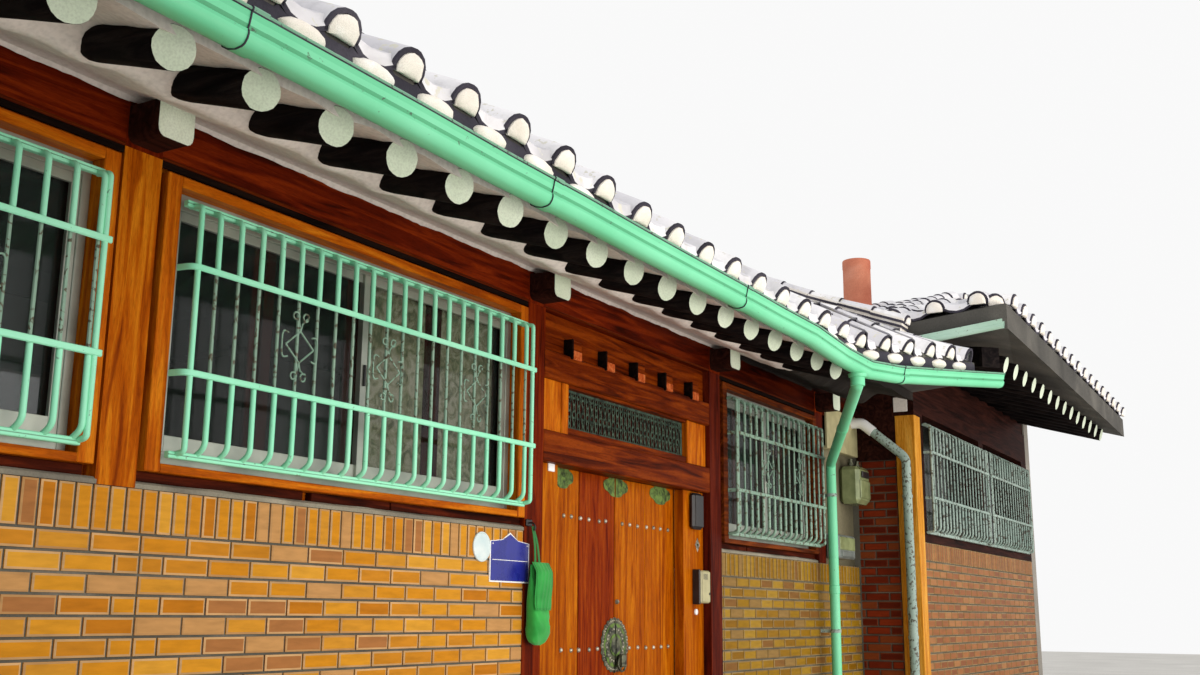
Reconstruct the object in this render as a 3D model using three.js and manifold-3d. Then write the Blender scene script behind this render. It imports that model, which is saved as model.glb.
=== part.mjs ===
// Street side of an urban Korean timber house: a gate range and a wing that steps towards the street.
// Millimetres, +Z up. X runs along the street to the right, Y runs from the street into the house.
// In the drawing frame the street faces of the posts lie on Y = 0 and the ground is Z = 0.

import * as THREE from "three";
import { mergeVertices } from "three/addons/utils/BufferGeometryUtils.js";
import Module from "manifold-3d";

const wasm = await Module();
wasm.setup();

// Gap kept between neighbours that touch
const SEAT = 0.3;

// Plan of the gate range
const HOUSE_LEFT = 35;
const PARTY_WALL = 200;
const POST = 160;
const POST_X = { 1: 315, a: 2815, b: 5315, c: 7440, d: 9345, e: 10280 };
const RANGE_DEPTH = 3000;
const WALL = 200;
const FRAME_THICK = 80;
const INFILL_THICK = 80;

// Plan of the wing
const WING_LEFT = 10200;
const WING_RIGHT = 14600;
const WING_FRONT = -500;
const WING_MID = (WING_LEFT + WING_RIGHT) / 2;

// Heights of the gate range
const FLOOR_TOP = 100;
const DADO_TOP = 1800;
const TOP_BEAM_LOW = 2945;
const CROSS_BEAM_LOW = 2905;
const PURLIN_LOW = 3120;

// Windows of the range: a lining in the wall, a casing in front of it and one pane
const WINDOW_LOW = 1890;
const WINDOW_HIGH = 2868;
const LINING_WIDE = 85;
const LINING_DEPTH = [60, 150];
const CASING_LOW = 1860;
const CASING_HIGH = 2908;
const CASING_INSET = 20;
const CASING_FRONT = -15;
const PANE_DEPTH = [80, 92];

// Yard wall
const YARD_SILL = 150;
const YARD_RAIL = 60;
const YARD_WINDOW = [1950, 2700];
const YARD_WINDOW_INSET = 250;
const YARD_GLASS = [1900, 2750];

// Roof frames
const TIE_HALF = 75;
const KING_HALF = 80;
const RIDGE_BEAM_HIGH = 170;

// Rafters of the gate range, whose eave logs lie flatter than the roof
const RAFTER_RADIUS = 80;
const RAFTER_SIDES = 8;
const RAFTER_PITCH = 333;
const RAFTER_FIRST = 582;
const RAFTER_END_Y = -780;
const RAFTER_END_Z = 2925;
const RAFTER_FOOT_Y = 45;
const EAVE_LOG_SLOPE = 0.3;
const EAVE_LOG_INNER_Y = 100;
const LAST_STREET_LOG = 7700;
const BEAM_END_HALF = 76;
const BEAM_END_DEPTH = 150;
const BEAM_END_LOW = 2960;
const BEAM_END_HIGH = 3088;
const PURLIN_DEPTH = [15, 165];
const SOFFIT_COVER = 20;
const SOFFIT_END_Y = RAFTER_END_Y - 10;

// Plaster between the eave logs, then its cove, which hides their inner ends from below
const SOFFIT_UNDER = [[SOFFIT_END_Y, 2955], [-520, 3036]];
const COVE = [[-400, 2962], [-45, PURLIN_LOW], [10, PURLIN_LOW]];
const COVE_COVER = 15;

// Tiled roof of the gate range
const SLOPE = 0.5;
const EAVE_Y = -950;
const EAVE_TOP = 3100;
const EAVE_UNDER = 3000;
const EAVE_UNDER_SHARE = 0.6;
const RIDGE_Y = RANGE_DEPTH / 2;
const RIDGE_STACK = 230;
const RIDGE_HALF = 130;
const TILE_FIRST = 167;
const TILE_PITCH = 318.5;
const TILE_HALF = 76;
const TILE_HIGH = 102;
const VERGE_X = 9060;
const VERGE_HALF = 105;
const VERGE_FOOT_Y = -750;
const VERGE_BOW = 60;

// Tiled roof of the wing
const WING_EAVE_X = 9200;
const WING_EAVE_Y = -1500;
const WING_EAVE_TOP = 3500;
const WING_SLOPE = 0.29;
const WING_ROOF_THICK = 185;
const WING_CORNER_LIFT = 120;
const WING_GABLE_Y = -450;
const WING_RIDGE_STACK = 115;
const WING_RAFTER_RADIUS = 65;
const WING_DADO_TOP = 2000;
const WING_WINDOW_LOW = 2070;
const WING_WINDOW_HIGH = 3050;
const WING_MIRROR = WING_FRONT + RANGE_DEPTH;

// The street eave of the gate range sags in the middle, and its right end flares out and up
const FLARE_START = 7500;
const FLARE_OUT = 300;
const FLARE_UP = 105;
const EAVE_LINE = [[HOUSE_LEFT, 0], [3700, 0], [4800, -68], [FLARE_START, -62], [WING_EAVE_X, FLARE_UP]];

// Gate
const GATE_LEFT = 5620;
const GATE_RIGHT = 7080;
const GATE_SEAM = (GATE_LEFT + GATE_RIGHT) / 2;
const JAMB_FRONT = 55;
const JAMB_BACK = 115;
const LEAF_CLEAR = 9;
const LEAF_THICK = 45;
const LEAF_LAP = 15;
const LEAF_LOW = 160;
const LEAF_HIGH = 2185;
const SEAM_GAP = 8;
const PIVOT_INSET = 12;
const PIVOT_RADIUS = 11;
const SOCKET_RADIUS = 12;
const THRESHOLD_TOP = 180;
const LINTEL_LOW = 2160;
const LINTEL_HIGH = 2320;
const TRANSOM_LOW = 2362;
const TRANSOM_HIGH = 2575;
const GATE_BEAM_LOW = 2590;
const GATE_BEAM_HIGH = 2735;
const TENON_MIDDLE = 6415;
const TENON_PITCH = 359;
const MEDALLION_RADIUS = 150;
const MEDALLION_Z = 1240;
const MEDALLION_THICK = 6;
const SOCKET_HALF = 60;
const SOCKET_DEPTH = 70;
const SOCKET_FOOT = 50;
const PIN_FOOT = 100;
const PIN_HEAD = 55;
const TRANSOM_FRAME_FRONT = 30;
const LATTICE_DEPTH = [60, 75];
const UPPER_BOARD_FRONT = 45;
const UPPER_RAIL = [2840, 2905];
const TENON_HALF = 56;
const TENON_FRONT = -40;
const TENON_HEIGHT = [2722, 2830];

// Window grilles
const GRILLE_Y = -90;
const GRILLE_BAR = 14;
const GRILLE_INSET = { 1: [80, 97], 2: [79, 65], 3: [65, 65] };
const GRILLE_LOW = 1910;
const GRILLE_HIGH = 2816;
const GRILLE_RAILS = [2200, 2574];
const GRILLE_RAIL_HALF = 12;
const GRILLE_RAIL_END = 10;
const WING_GRILLE_LIFT = 160;
const WING_GRILLE_OVER = 30;

// Gutters, from their outer rim round to the inner one, and downpipes
const GUTTER_SKIN = [[-75, 108], [-62, 60], [-45, 5], [-20, 0], [25, 18], [42, 55], [46, 100]];
const GUTTER_INSIDE = [[42, 100], [38, 57], [22, 22], [-18, 4.5], [-42, 9], [-58, 61], [-71, 108]];
const GUTTER_Y = EAVE_Y - 45;
const GUTTER_LOW = 2822;
const GUTTER_END = WING_EAVE_X + 120;
const WING_GUTTER_SCALE = 0.6;
const PIPE_RADIUS = 37;
const PIPE_SIDES = 10;
const OUTLET_X = 7280;
const OUTLET_Y = GUTTER_Y - 20;

// Chimney and bag
const CHIMNEY_X = 11600;
const CHIMNEY_Y = 400;
const CHIMNEY_RADIUS = 135;
const CHIMNEY_TOP = 4780;
const BAG = { across: [5215, 5400], front: -90, up: [1250, 1640] };

function finish(color, roughness, metalness = 0) {
  return new THREE.MeshStandardMaterial({ color, roughness, metalness });
}

const brick = finish(0xa87423, 0.6);
const redBrick = finish(0x6e2a16, 0.75);
const plaster = finish(0xd8cfc6, 0.9);
const render = finish(0x9a948c, 0.9);
const darkTimber = finish(0x5a1c10, 0.5);
const orangeTimber = finish(0x9a4510, 0.45);
const rafterTimber = finish(0x16120f, 0.7);
const tile = finish(0x6d6e72, 0.8);
const mintPaint = finish(0x6fc7a0, 0.45, 0.2);
const palePaint = finish(0xa9cbb9, 0.45, 0.2);
const glass = finish(0x1c2422, 0.1);
const agedMetal = finish(0x3f4a3c, 0.6, 0.5);
const terracotta = finish(0xb5674a, 0.85);
const greenFabric = finish(0x2f9440, 0.8);
const stone = finish(0x8d8a84, 0.9);

const house = new THREE.Group();

function add(name, geometry, material) {
  const mesh = new THREE.Mesh(geometry, material);
  mesh.name = name;
  house.add(mesh);
  return mesh;
}

// Shapes

function block([x0, x1], [y0, y1], [z0, z1]) {
  const geometry = new THREE.BoxGeometry(x1 - x0, y1 - y0, z1 - z0);
  geometry.translate((x0 + x1) / 2, (y0 + y1) / 2, (z0 + z1) / 2);
  return geometry;
}

function outline(points) {
  return new THREE.Shape(points.map(([x, y]) => new THREE.Vector2(x, y)));
}

// An outline in X and Z, pushed back from y0 to y1
function elevation(points, [y0, y1]) {
  const geometry = new THREE.ExtrudeGeometry(outline(points), { depth: y1 - y0, bevelEnabled: false });
  geometry.rotateX(Math.PI / 2);
  geometry.translate(0, y1, 0);
  return geometry;
}

// An outline in Y and Z, pushed along X from x0 to x1
function profile(points, [x0, x1]) {
  const geometry = new THREE.ExtrudeGeometry(outline(points), { depth: x1 - x0, bevelEnabled: false });
  const along = new THREE.Matrix4().makeBasis(
    new THREE.Vector3(0, 1, 0), new THREE.Vector3(0, 0, 1), new THREE.Vector3(1, 0, 0));
  geometry.applyMatrix4(along);
  geometry.translate(x0, 0, 0);
  return geometry;
}

// An outline in X and Y whose upper and lower faces follow two height functions
function slab(points, topAt, underAt) {
  const geometry = new THREE.ExtrudeGeometry(outline(points), { depth: 1, bevelEnabled: false });
  const position = geometry.attributes.position;
  for (let i = 0; i < position.count; i += 1) {
    const height = position.getZ(i) > 0.5 ? topAt : underAt;
    position.setZ(i, height(position.getX(i), position.getY(i)));
  }
  return geometry;
}

// Two axes that show a flat ring of points without folding it
function flatten(ring) {
  const normal = new THREE.Vector3();
  ring.forEach((point, i) => {
    const next = ring[(i + 1) % ring.length];
    normal.add(new THREE.Vector3().crossVectors(point, next));
  });
  const size = [Math.abs(normal.x), Math.abs(normal.y), Math.abs(normal.z)];
  const drop = size.indexOf(Math.max(...size));
  const keep = [0, 1, 2].filter((axis) => axis !== drop);
  return ring.map((point) => new THREE.Vector2(point.getComponent(keep[0]), point.getComponent(keep[1])));
}

function signedVolume(points, faces) {
  return faces.reduce((sum, [a, b, c]) => (
    sum + points[a].dot(new THREE.Vector3().crossVectors(points[b], points[c]))), 0);
}

// A closed skin through rings of the same number of points
function loft(rings) {
  const size = rings[0].length;
  const points = rings.flat();
  const faces = [];
  for (let ring = 0; ring + 1 < rings.length; ring += 1) {
    for (let i = 0; i < size; i += 1) {
      const a = ring * size + i;
      const b = ring * size + (i + 1) % size;
      faces.push([a, b, b + size], [a, b + size, a + size]);
    }
  }
  const lastRing = (rings.length - 1) * size;
  const startCap = THREE.ShapeUtils.triangulateShape(flatten(rings[0]), []);
  const endCap = THREE.ShapeUtils.triangulateShape(flatten(rings.at(-1)), []);
  const startEdge = new Set(rings[0].map((_, i) => `${i},${(i + 1) % size}`));
  const follows = ([a, b, c]) => [[a, b], [b, c], [c, a]].some(([p, q]) => startEdge.has(`${p},${q}`));
  const turned = startCap.some(follows);
  for (const [a, b, c] of startCap) {
    faces.push(turned ? [c, b, a] : [a, b, c]);
  }
  const endTurned = endCap.some(follows);
  for (const [a, b, c] of endCap) {
    const [p, q, r] = [a, b, c].map((i) => i + lastRing);
    faces.push(endTurned ? [p, q, r] : [r, q, p]);
  }
  const outward = signedVolume(points, faces) > 0;
  const geometry = new THREE.BufferGeometry().setFromPoints(points);
  geometry.setIndex(faces.flatMap(([a, b, c]) => (outward ? [a, b, c] : [c, b, a])));
  geometry.computeVertexNormals();
  return geometry;
}

// A round bar from one point to another
function bar(start, end, radius, sides) {
  const from = new THREE.Vector3(...start);
  const to = new THREE.Vector3(...end);
  const axis = new THREE.Vector3().subVectors(to, from);
  const geometry = new THREE.CylinderGeometry(radius, radius, axis.length(), sides);
  const turn = new THREE.Quaternion().setFromUnitVectors(new THREE.Vector3(0, 1, 0), axis.normalize());
  geometry.applyQuaternion(turn);
  const middle = from.add(to).multiplyScalar(0.5);
  geometry.translate(middle.x, middle.y, middle.z);
  return geometry;
}

// A pipe of constant section with mitred bends
function pipe(path, radius, sides) {
  const stops = path.map((point) => new THREE.Vector3(...point));
  const first = new THREE.Vector3().subVectors(stops[1], stops[0]).normalize();
  const helper = Math.abs(first.z) < 0.9 ? new THREE.Vector3(0, 0, 1) : new THREE.Vector3(1, 0, 0);
  const side = new THREE.Vector3().crossVectors(first, helper).normalize();
  const up = new THREE.Vector3().crossVectors(side, first);
  let ring = Array.from({ length: sides }, (_, i) => {
    const turn = (2 * Math.PI * i) / sides;
    const offset = side.clone().multiplyScalar(radius * Math.cos(turn));
    return offset.addScaledVector(up, radius * Math.sin(turn)).add(stops[0]);
  });
  const rings = [ring];
  for (let i = 1; i < stops.length; i += 1) {
    const along = new THREE.Vector3().subVectors(stops[i], stops[i - 1]).normalize();
    const onward = i + 1 < stops.length
      ? new THREE.Vector3().subVectors(stops[i + 1], stops[i]).normalize() : along;
    const mitre = new THREE.Vector3().addVectors(along, onward).normalize();
    ring = ring.map((point) => {
      const reach = new THREE.Vector3().subVectors(stops[i], point).dot(mitre) / along.dot(mitre);
      return point.clone().addScaledVector(along, reach);
    });
    rings.push(ring);
  }
  return loft(rings);
}

// Joins and cuts

function toSolid(geometry) {
  const bare = geometry.clone();
  bare.deleteAttribute("normal");
  bare.deleteAttribute("uv");
  const merged = mergeVertices(bare, 0.001);
  return new wasm.Manifold(new wasm.Mesh({
    numProp: 3,
    vertProperties: new Float32Array(merged.attributes.position.array),
    triVerts: new Uint32Array(merged.index.array),
  }));
}

function toGeometry(solid) {
  const mesh = solid.getMesh();
  const geometry = new THREE.BufferGeometry();
  geometry.setAttribute("position", new THREE.BufferAttribute(mesh.vertProperties, 3));
  geometry.setIndex(new THREE.BufferAttribute(mesh.triVerts, 1));
  geometry.computeVertexNormals();
  return geometry;
}

function joined(geometries) {
  return toGeometry(geometries.map(toSolid).reduce((sum, solid) => sum.add(solid)));
}

function cut(geometry, tools) {
  return toGeometry(tools.map(toSolid).reduce((rest, tool) => rest.subtract(tool), toSolid(geometry)));
}

// Openings of X and Z spans, cut through a wall from y0 to y1
function pierced(geometry, [y0, y1], openings) {
  return cut(geometry, openings.map(([across, up]) => block(across, [y0 - 10, y1 + 10], up)));
}

// Roof surfaces

const RAFTER_RISE = RAFTER_RADIUS * Math.hypot(1, SLOPE);
const rafterAxis = (y) => RAFTER_END_Z + SLOPE * (y - RAFTER_END_Y);
const deckUnder = (y) => rafterAxis(y) + RAFTER_RISE + SEAT;
const logAxis = (y) => RAFTER_END_Z + EAVE_LOG_SLOPE * (y - RAFTER_END_Y);
const soffitTop = (y) => logAxis(y) + RAFTER_RADIUS * Math.hypot(1, EAVE_LOG_SLOPE) + SOFFIT_COVER;
const rangeTop = (y) => EAVE_TOP + SLOPE * (y - EAVE_Y);
const RIDGE_TOP = rangeTop(RIDGE_Y);
const PURLIN_HIGH = rafterAxis(POST / 2) - RAFTER_RISE;

// How far the street eave lies above its straight line, and where its edge is
function eaveLift(x) {
  const stop = EAVE_LINE.findIndex(([at]) => at >= x);
  if (stop < 1) {
    return EAVE_LINE.at(stop)[1];
  }
  const [[x0, z0], [x1, z1]] = EAVE_LINE.slice(stop - 1, stop + 1);
  return z0 + ((z1 - z0) * (x - x0)) / (x1 - x0);
}

function eaveEdge(x) {
  const share = (x - FLARE_START) / (WING_EAVE_X - FLARE_START);
  return EAVE_Y - FLARE_OUT * Math.min(Math.max(share, 0), 1);
}

function streetTop(x, y) {
  return y > 0 ? rangeTop(y) : rangeTop(0) + (y / eaveEdge(x)) * (EAVE_TOP + eaveLift(x) - rangeTop(0));
}

const WING_RAFTER_RISE = WING_RAFTER_RADIUS * Math.hypot(1, WING_SLOPE);
const wingWest = (x) => WING_EAVE_TOP + WING_SLOPE * (x - WING_EAVE_X);
const wingEast = (x) => wingWest(2 * WING_MID - x);
const wingStreet = (y) => WING_EAVE_TOP + WING_SLOPE * (y - WING_EAVE_Y);
const WING_RIDGE = wingWest(WING_MID);
const WING_HIP_X = WING_EAVE_X + (WING_GABLE_Y - WING_EAVE_Y);
const WING_PURLIN_HIGH = wingStreet(WING_FRONT + POST / 2) - WING_ROOF_THICK - 2 * WING_RAFTER_RISE;
const WING_PURLIN_LOW = WING_PURLIN_HIGH - 130;

// The valley, where the roof of the gate range runs into the west slope of the wing
const valleyX = (top) => WING_EAVE_X + (top - WING_EAVE_TOP) / WING_SLOPE;
const FLARED_FALL = rangeTop(0) - streetTop(WING_EAVE_X, eaveEdge(WING_EAVE_X));
const VALLEY_FOOT_Y = ((rangeTop(0) - WING_EAVE_TOP) / FLARED_FALL) * eaveEdge(WING_EAVE_X);
const VALLEY_BACK_Y = RANGE_DEPTH - (WING_EAVE_TOP - rangeTop(0)) / SLOPE;
const VALLEY = [
  [WING_EAVE_X, VALLEY_FOOT_Y],
  [valleyX(rangeTop(0)), 0],
  [valleyX(RIDGE_TOP), RIDGE_Y],
  [WING_EAVE_X, VALLEY_BACK_Y],
];

const left = (name) => POST_X[name] - POST / 2;
const right = (name) => POST_X[name] + POST / 2;
const RANGE_LEFT = HOUSE_LEFT + PARTY_WALL;
const WING_INNER_RIGHT = WING_RIGHT - PARTY_WALL;

function addMasonry() {
  const gable = [
    [0, 0], [RANGE_DEPTH, 0], [RANGE_DEPTH, deckUnder(0) - SEAT],
    [RIDGE_Y, deckUnder(RIDGE_Y) - SEAT], [0, deckUnder(0) - SEAT],
  ];
  add("party_wall_left", profile(gable, [HOUSE_LEFT, RANGE_LEFT]), render);
  add("dado_left", block([RANGE_LEFT + SEAT, left("b") - SEAT], [0, WALL], [0, DADO_TOP]), brick);
  add("dado_right", block([right("c") + SEAT, WING_LEFT - SEAT], [0, WALL], [0, DADO_TOP]), brick);
  const wingWallTop = wingEast(WING_RIGHT) - WING_ROOF_THICK - SEAT;
  const wallRight = block([WING_INNER_RIGHT, WING_RIGHT], [WING_FRONT, RANGE_DEPTH], [0, wingWallTop]);
  add("party_wall_right", wallRight, render);
  const wingDado = block([WING_LEFT + POST + SEAT, WING_INNER_RIGHT - SEAT], [WING_FRONT, WING_FRONT + WALL],
    [0, WING_DADO_TOP]);
  add("wing_dado", wingDado, brick);
  const across = [WING_LEFT, WING_LEFT + POST];
  const returnWall = block(across, [WING_FRONT + POST + SEAT, -SEAT], [0, WING_PURLIN_LOW - SEAT]);
  const returnEnd = block(across, [-10, POST], [0, TOP_BEAM_LOW - SEAT]);
  add("return_wall", joined([returnWall, returnEnd]), redBrick);
  const room = [
    [RANGE_LEFT + SEAT, WALL + SEAT],
    [WING_LEFT + POST + SEAT, WALL + SEAT],
    [WING_LEFT + POST + SEAT, WING_FRONT + WALL + SEAT],
    [WING_INNER_RIGHT - SEAT, WING_FRONT + WALL + SEAT],
    [WING_INNER_RIGHT - SEAT, RANGE_DEPTH - FRAME_THICK - INFILL_THICK - SEAT],
    [RANGE_LEFT + SEAT, RANGE_DEPTH - FRAME_THICK - INFILL_THICK - SEAT],
  ];
  add("floor", slab(room, () => FLOOR_TOP, () => 0), stone);
}

function addPosts() {
  for (const name of ["1", "a", "d"]) {
    const post = block([left(name), right(name)], [0, POST], [DADO_TOP + SEAT, TOP_BEAM_LOW - SEAT]);
    add(`post_${name}`, post, orangeTimber);
  }
  for (const name of ["b", "c"]) {
    const post = block([left(name), right(name)], [0, POST], [0, TOP_BEAM_LOW - SEAT]);
    add(`post_${name}`, post, orangeTimber);
  }
}

function addTopBeam() {
  const beam = block([RANGE_LEFT + SEAT, WING_LEFT + POST], [0, POST], [TOP_BEAM_LOW, PURLIN_LOW - SEAT]);
  const rounding = [[1, BEAM_END_HIGH - BEAM_END_LOW], [1, 35], [0.82, 10], [0.5, 0]];
  const face = [...rounding, ...rounding.toReversed().map(([side, up]) => [-side, up])];
  const ends = ["a", "b", "c", "d"].map((name) => (
    elevation(face.map(([side, up]) => [POST_X[name] + side * BEAM_END_HALF, BEAM_END_LOW + up]),
      [-BEAM_END_DEPTH, 10])));
  add("top_beam", joined([beam, ...ends]), darkTimber);
}

function addRoofFrame() {
  const wallInside = RANGE_DEPTH - FRAME_THICK - INFILL_THICK;
  const ridgeHigh = rafterAxis(RIDGE_Y - TIE_HALF) - RAFTER_RISE - SEAT;
  const ridgeLow = ridgeHigh - RIDGE_BEAM_HIGH;
  const kingTop = ridgeLow + 10;
  const tie = [
    [POST + SEAT, CROSS_BEAM_LOW], [wallInside - SEAT, CROSS_BEAM_LOW],
    [wallInside - SEAT, PURLIN_LOW - SEAT],
    [RIDGE_Y + KING_HALF, PURLIN_LOW - SEAT], [RIDGE_Y + KING_HALF, kingTop],
    [RIDGE_Y - KING_HALF, kingTop], [RIDGE_Y - KING_HALF, PURLIN_LOW - SEAT],
    [POST + SEAT, PURLIN_LOW - SEAT],
  ];
  const ties = ["a", "b", "c", "d", "e"].map((name) => (
    profile(tie, [POST_X[name] - TIE_HALF, POST_X[name] + TIE_HALF])));
  const ridge = block([RANGE_LEFT + SEAT, WING_LEFT + 1400], [RIDGE_Y - TIE_HALF, RIDGE_Y + TIE_HALF],
    [ridgeLow, ridgeHigh]);
  add("range_roof_frame", joined([ridge, ...ties]), darkTimber);
}

// The two long sides of the range: what is drawn for the street is turned over to the yard
const streetSide = (y) => y;
const yardSide = (y) => RANGE_DEPTH - y;
const spanOn = (side, y0, y1) => [side(y0), side(y1)].sort((p, q) => p - q);

// The eave logs of one side, as far along as lastLog and out to endY
function eaveLogs(side, lastLog, endY, radius) {
  const logs = [];
  for (let x = RAFTER_FIRST; x < lastLog; x += RAFTER_PITCH) {
    const ends = [endY, EAVE_LOG_INNER_Y].map((y) => [x, side(y), logAxis(y)]);
    logs.push(bar(...ends, radius, RAFTER_SIDES));
  }
  return logs;
}

// Room round the beam ends, which only the street side has
function beamEndRoom(side) {
  const names = side === streetSide ? ["a", "b", "c", "d"] : [];
  return names.map((name) => (
    block([POST_X[name] - BEAM_END_HALF - SEAT, POST_X[name] + BEAM_END_HALF + SEAT],
      [-BEAM_END_DEPTH - SEAT, 0], [BEAM_END_LOW, BEAM_END_HIGH + SEAT])));
}

// The room under the cove and its cover over the log ends, with a gap round it
function underCove(side, gap) {
  const high = COVE.map(([y, z]) => [y, z + COVE_COVER + gap]);
  high[0][0] -= gap;
  high.at(-1)[0] += gap;
  const points = [[high[0][0], 0], ...high, [high.at(-1)[0], 0]];
  return profile(points.map(([y, z]) => [side(y), z]), [HOUSE_LEFT, WING_RIGHT]);
}

// Rafters of one side, the purlin they rest on, and the eave logs housed over the top beam
function rangeRafters(side, lastLog) {
  const along = [RANGE_LEFT + SEAT, WING_LEFT - SEAT];
  const purlin = block(along, spanOn(side, ...PURLIN_DEPTH), [PURLIN_LOW, PURLIN_HIGH + 25]);
  const pieces = [purlin, ...eaveLogs(side, lastLog, RAFTER_END_Y, RAFTER_RADIUS)];
  const high = RIDGE_Y - 45;
  for (let x = RAFTER_FIRST; x < WING_EAVE_X - RAFTER_RADIUS; x += RAFTER_PITCH) {
    const ends = [RAFTER_FOOT_Y, high].map((y) => [x, side(y), rafterAxis(y)]);
    pieces.push(bar(...ends, RAFTER_RADIUS, RAFTER_SIDES));
  }
  const beam = block([HOUSE_LEFT, WING_RIGHT], spanOn(side, -SEAT, RIDGE_Y - SEAT), [0, PURLIN_LOW]);
  return cut(joined(pieces), [beam, underCove(side, SEAT), ...beamEndRoom(side)]);
}

// Plaster under the eave, between the logs and thinly over them
function eavePlaster(side, lastLog) {
  const section = [
    ...SOFFIT_UNDER, ...COVE,
    [COVE.at(-1)[0], soffitTop(-SEAT) - SEAT], [SOFFIT_END_Y, soffitTop(SOFFIT_END_Y) - SEAT],
  ];
  const body = profile(section.map(([y, z]) => [side(y), z]), [HOUSE_LEFT, WING_EAVE_X - SEAT]);
  const wallRoom = block([0, RANGE_LEFT + SEAT], spanOn(side, -SEAT, POST), [0, RIDGE_TOP]);
  const cove = underCove(side, 0);
  const logRoom = eaveLogs(side, lastLog, SOFFIT_END_Y - RAFTER_RADIUS, RAFTER_RADIUS + SEAT)
    .map((log) => cut(log, [cove]));
  return cut(body, [wallRoom, ...logRoom, ...beamEndRoom(side)]);
}

function addRafters() {
  const last = WING_EAVE_X - RAFTER_RADIUS;
  add("rafters_street", rangeRafters(streetSide, LAST_STREET_LOG), rafterTimber);
  add("rafters_yard", rangeRafters(yardSide, last), rafterTimber);
  add("eave_plaster_street", eavePlaster(streetSide, LAST_STREET_LOG), plaster);
  add("eave_plaster_yard", eavePlaster(yardSide, last), plaster);
}

// Section of the roof bed at one X, with the place and the lift of its eave
function rangeSection(side, x, edge, lift) {
  return [
    [edge, EAVE_UNDER + EAVE_UNDER_SHARE * lift],
    [SOFFIT_END_Y, soffitTop(SOFFIT_END_Y)],
    [-SEAT, soffitTop(-SEAT)],
    [-SEAT, deckUnder(0)],
    [RIDGE_Y - SEAT / 2, deckUnder(RIDGE_Y)],
    [RIDGE_Y - SEAT / 2, RIDGE_TOP],
    [0, rangeTop(0)],
    [edge, EAVE_TOP + lift],
  ].map(([y, z]) => new THREE.Vector3(x, side(y), z));
}

// A ridge or tile row that runs up the slope of the range at one X
function upSlope(side, x, half, section, yStations, topAt) {
  return loft(yStations.map((y) => section.map(([across, up]) => (
    new THREE.Vector3(x + across * half, side(y), topAt(x, y) + up)))));
}

const ROW_TOP_Y = RIDGE_Y - RIDGE_HALF - 5;

// The raised rows of cover tiles, from near the eave to the ridge
function tileRows(side, places, edge, topAt) {
  const section = [[-1, -20], [-0.8, 70], [0, TILE_HIGH], [0.8, 70], [1, -20]];
  return places.map((x) => upSlope(side, x, TILE_HALF, section, [edge(x) + 5, 0, ROW_TOP_Y], topAt));
}

function addRangeRoof() {
  const reach = VALLEY[2][0];
  const beyond = [
    ...VALLEY.map(([x, y]) => [x - SEAT, y]),
    [WING_EAVE_X - SEAT, RANGE_DEPTH - WING_EAVE_Y], [WING_RIGHT, RANGE_DEPTH - WING_EAVE_Y],
    [WING_RIGHT, 2 * WING_EAVE_Y], [WING_EAVE_X - SEAT, 2 * WING_EAVE_Y],
  ];
  const wingSide = slab(beyond, () => 2 * RIDGE_TOP, () => 0);
  const rows = Array.from({ length: Math.floor((reach - TILE_FIRST) / TILE_PITCH) },
    (_, i) => TILE_FIRST + i * TILE_PITCH);
  const clearOfVerge = rows.filter((x) => Math.abs(x - VERGE_X) > VERGE_HALF + TILE_HALF);
  const stations = [...EAVE_LINE.map(([x]) => x), reach];
  const bed = loft(stations.map((x) => rangeSection(streetSide, x, eaveEdge(x), eaveLift(x))));
  const street = joined([bed, ...tileRows(streetSide, clearOfVerge, eaveEdge, streetTop)]);
  add("range_roof_street", cut(street, [wingSide]), tile);
  const straight = loft([HOUSE_LEFT, reach].map((x) => rangeSection(yardSide, x, EAVE_Y, 0)));
  const yard = joined([straight, ...tileRows(yardSide, rows, () => EAVE_Y, (_, y) => rangeTop(y))]);
  add("range_roof_yard", cut(yard, [wingSide]), tile);

  const stack = [[-1, -90], [1, -90], [1, 130], [0.6, 150], [0.4, 215], [-0.4, 215], [-0.6, 150], [-1, 130]];
  const vergeTop = (x, y) => streetTop(x, y) + (y === 0 ? VERGE_BOW : 0);
  const verge = upSlope(streetSide, VERGE_X, VERGE_HALF, stack, [VERGE_FOOT_Y, 0, ROW_TOP_Y], vergeTop);
  add("range_verge_ridge", cut(verge, [bed.clone().translate(0, 0, SEAT)]), tile);
  const foot = RIDGE_TOP + SEAT;
  const side = foot - SLOPE * RIDGE_HALF;
  const ridge = [
    [RIDGE_Y - RIDGE_HALF, side], [RIDGE_Y, foot], [RIDGE_Y + RIDGE_HALF, side],
    [RIDGE_Y + RIDGE_HALF - 40, RIDGE_TOP + RIDGE_STACK],
    [RIDGE_Y - RIDGE_HALF + 40, RIDGE_TOP + RIDGE_STACK],
  ];
  add("range_ridge", profile(ridge, [HOUSE_LEFT, valleyX(side) - 20]), tile);
}

const back = (y) => WING_MIRROR - y;
const corner = (x, y) => (x === WING_EAVE_X && (y === WING_EAVE_Y || y === back(WING_EAVE_Y))
  ? WING_CORNER_LIFT : 0);

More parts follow.
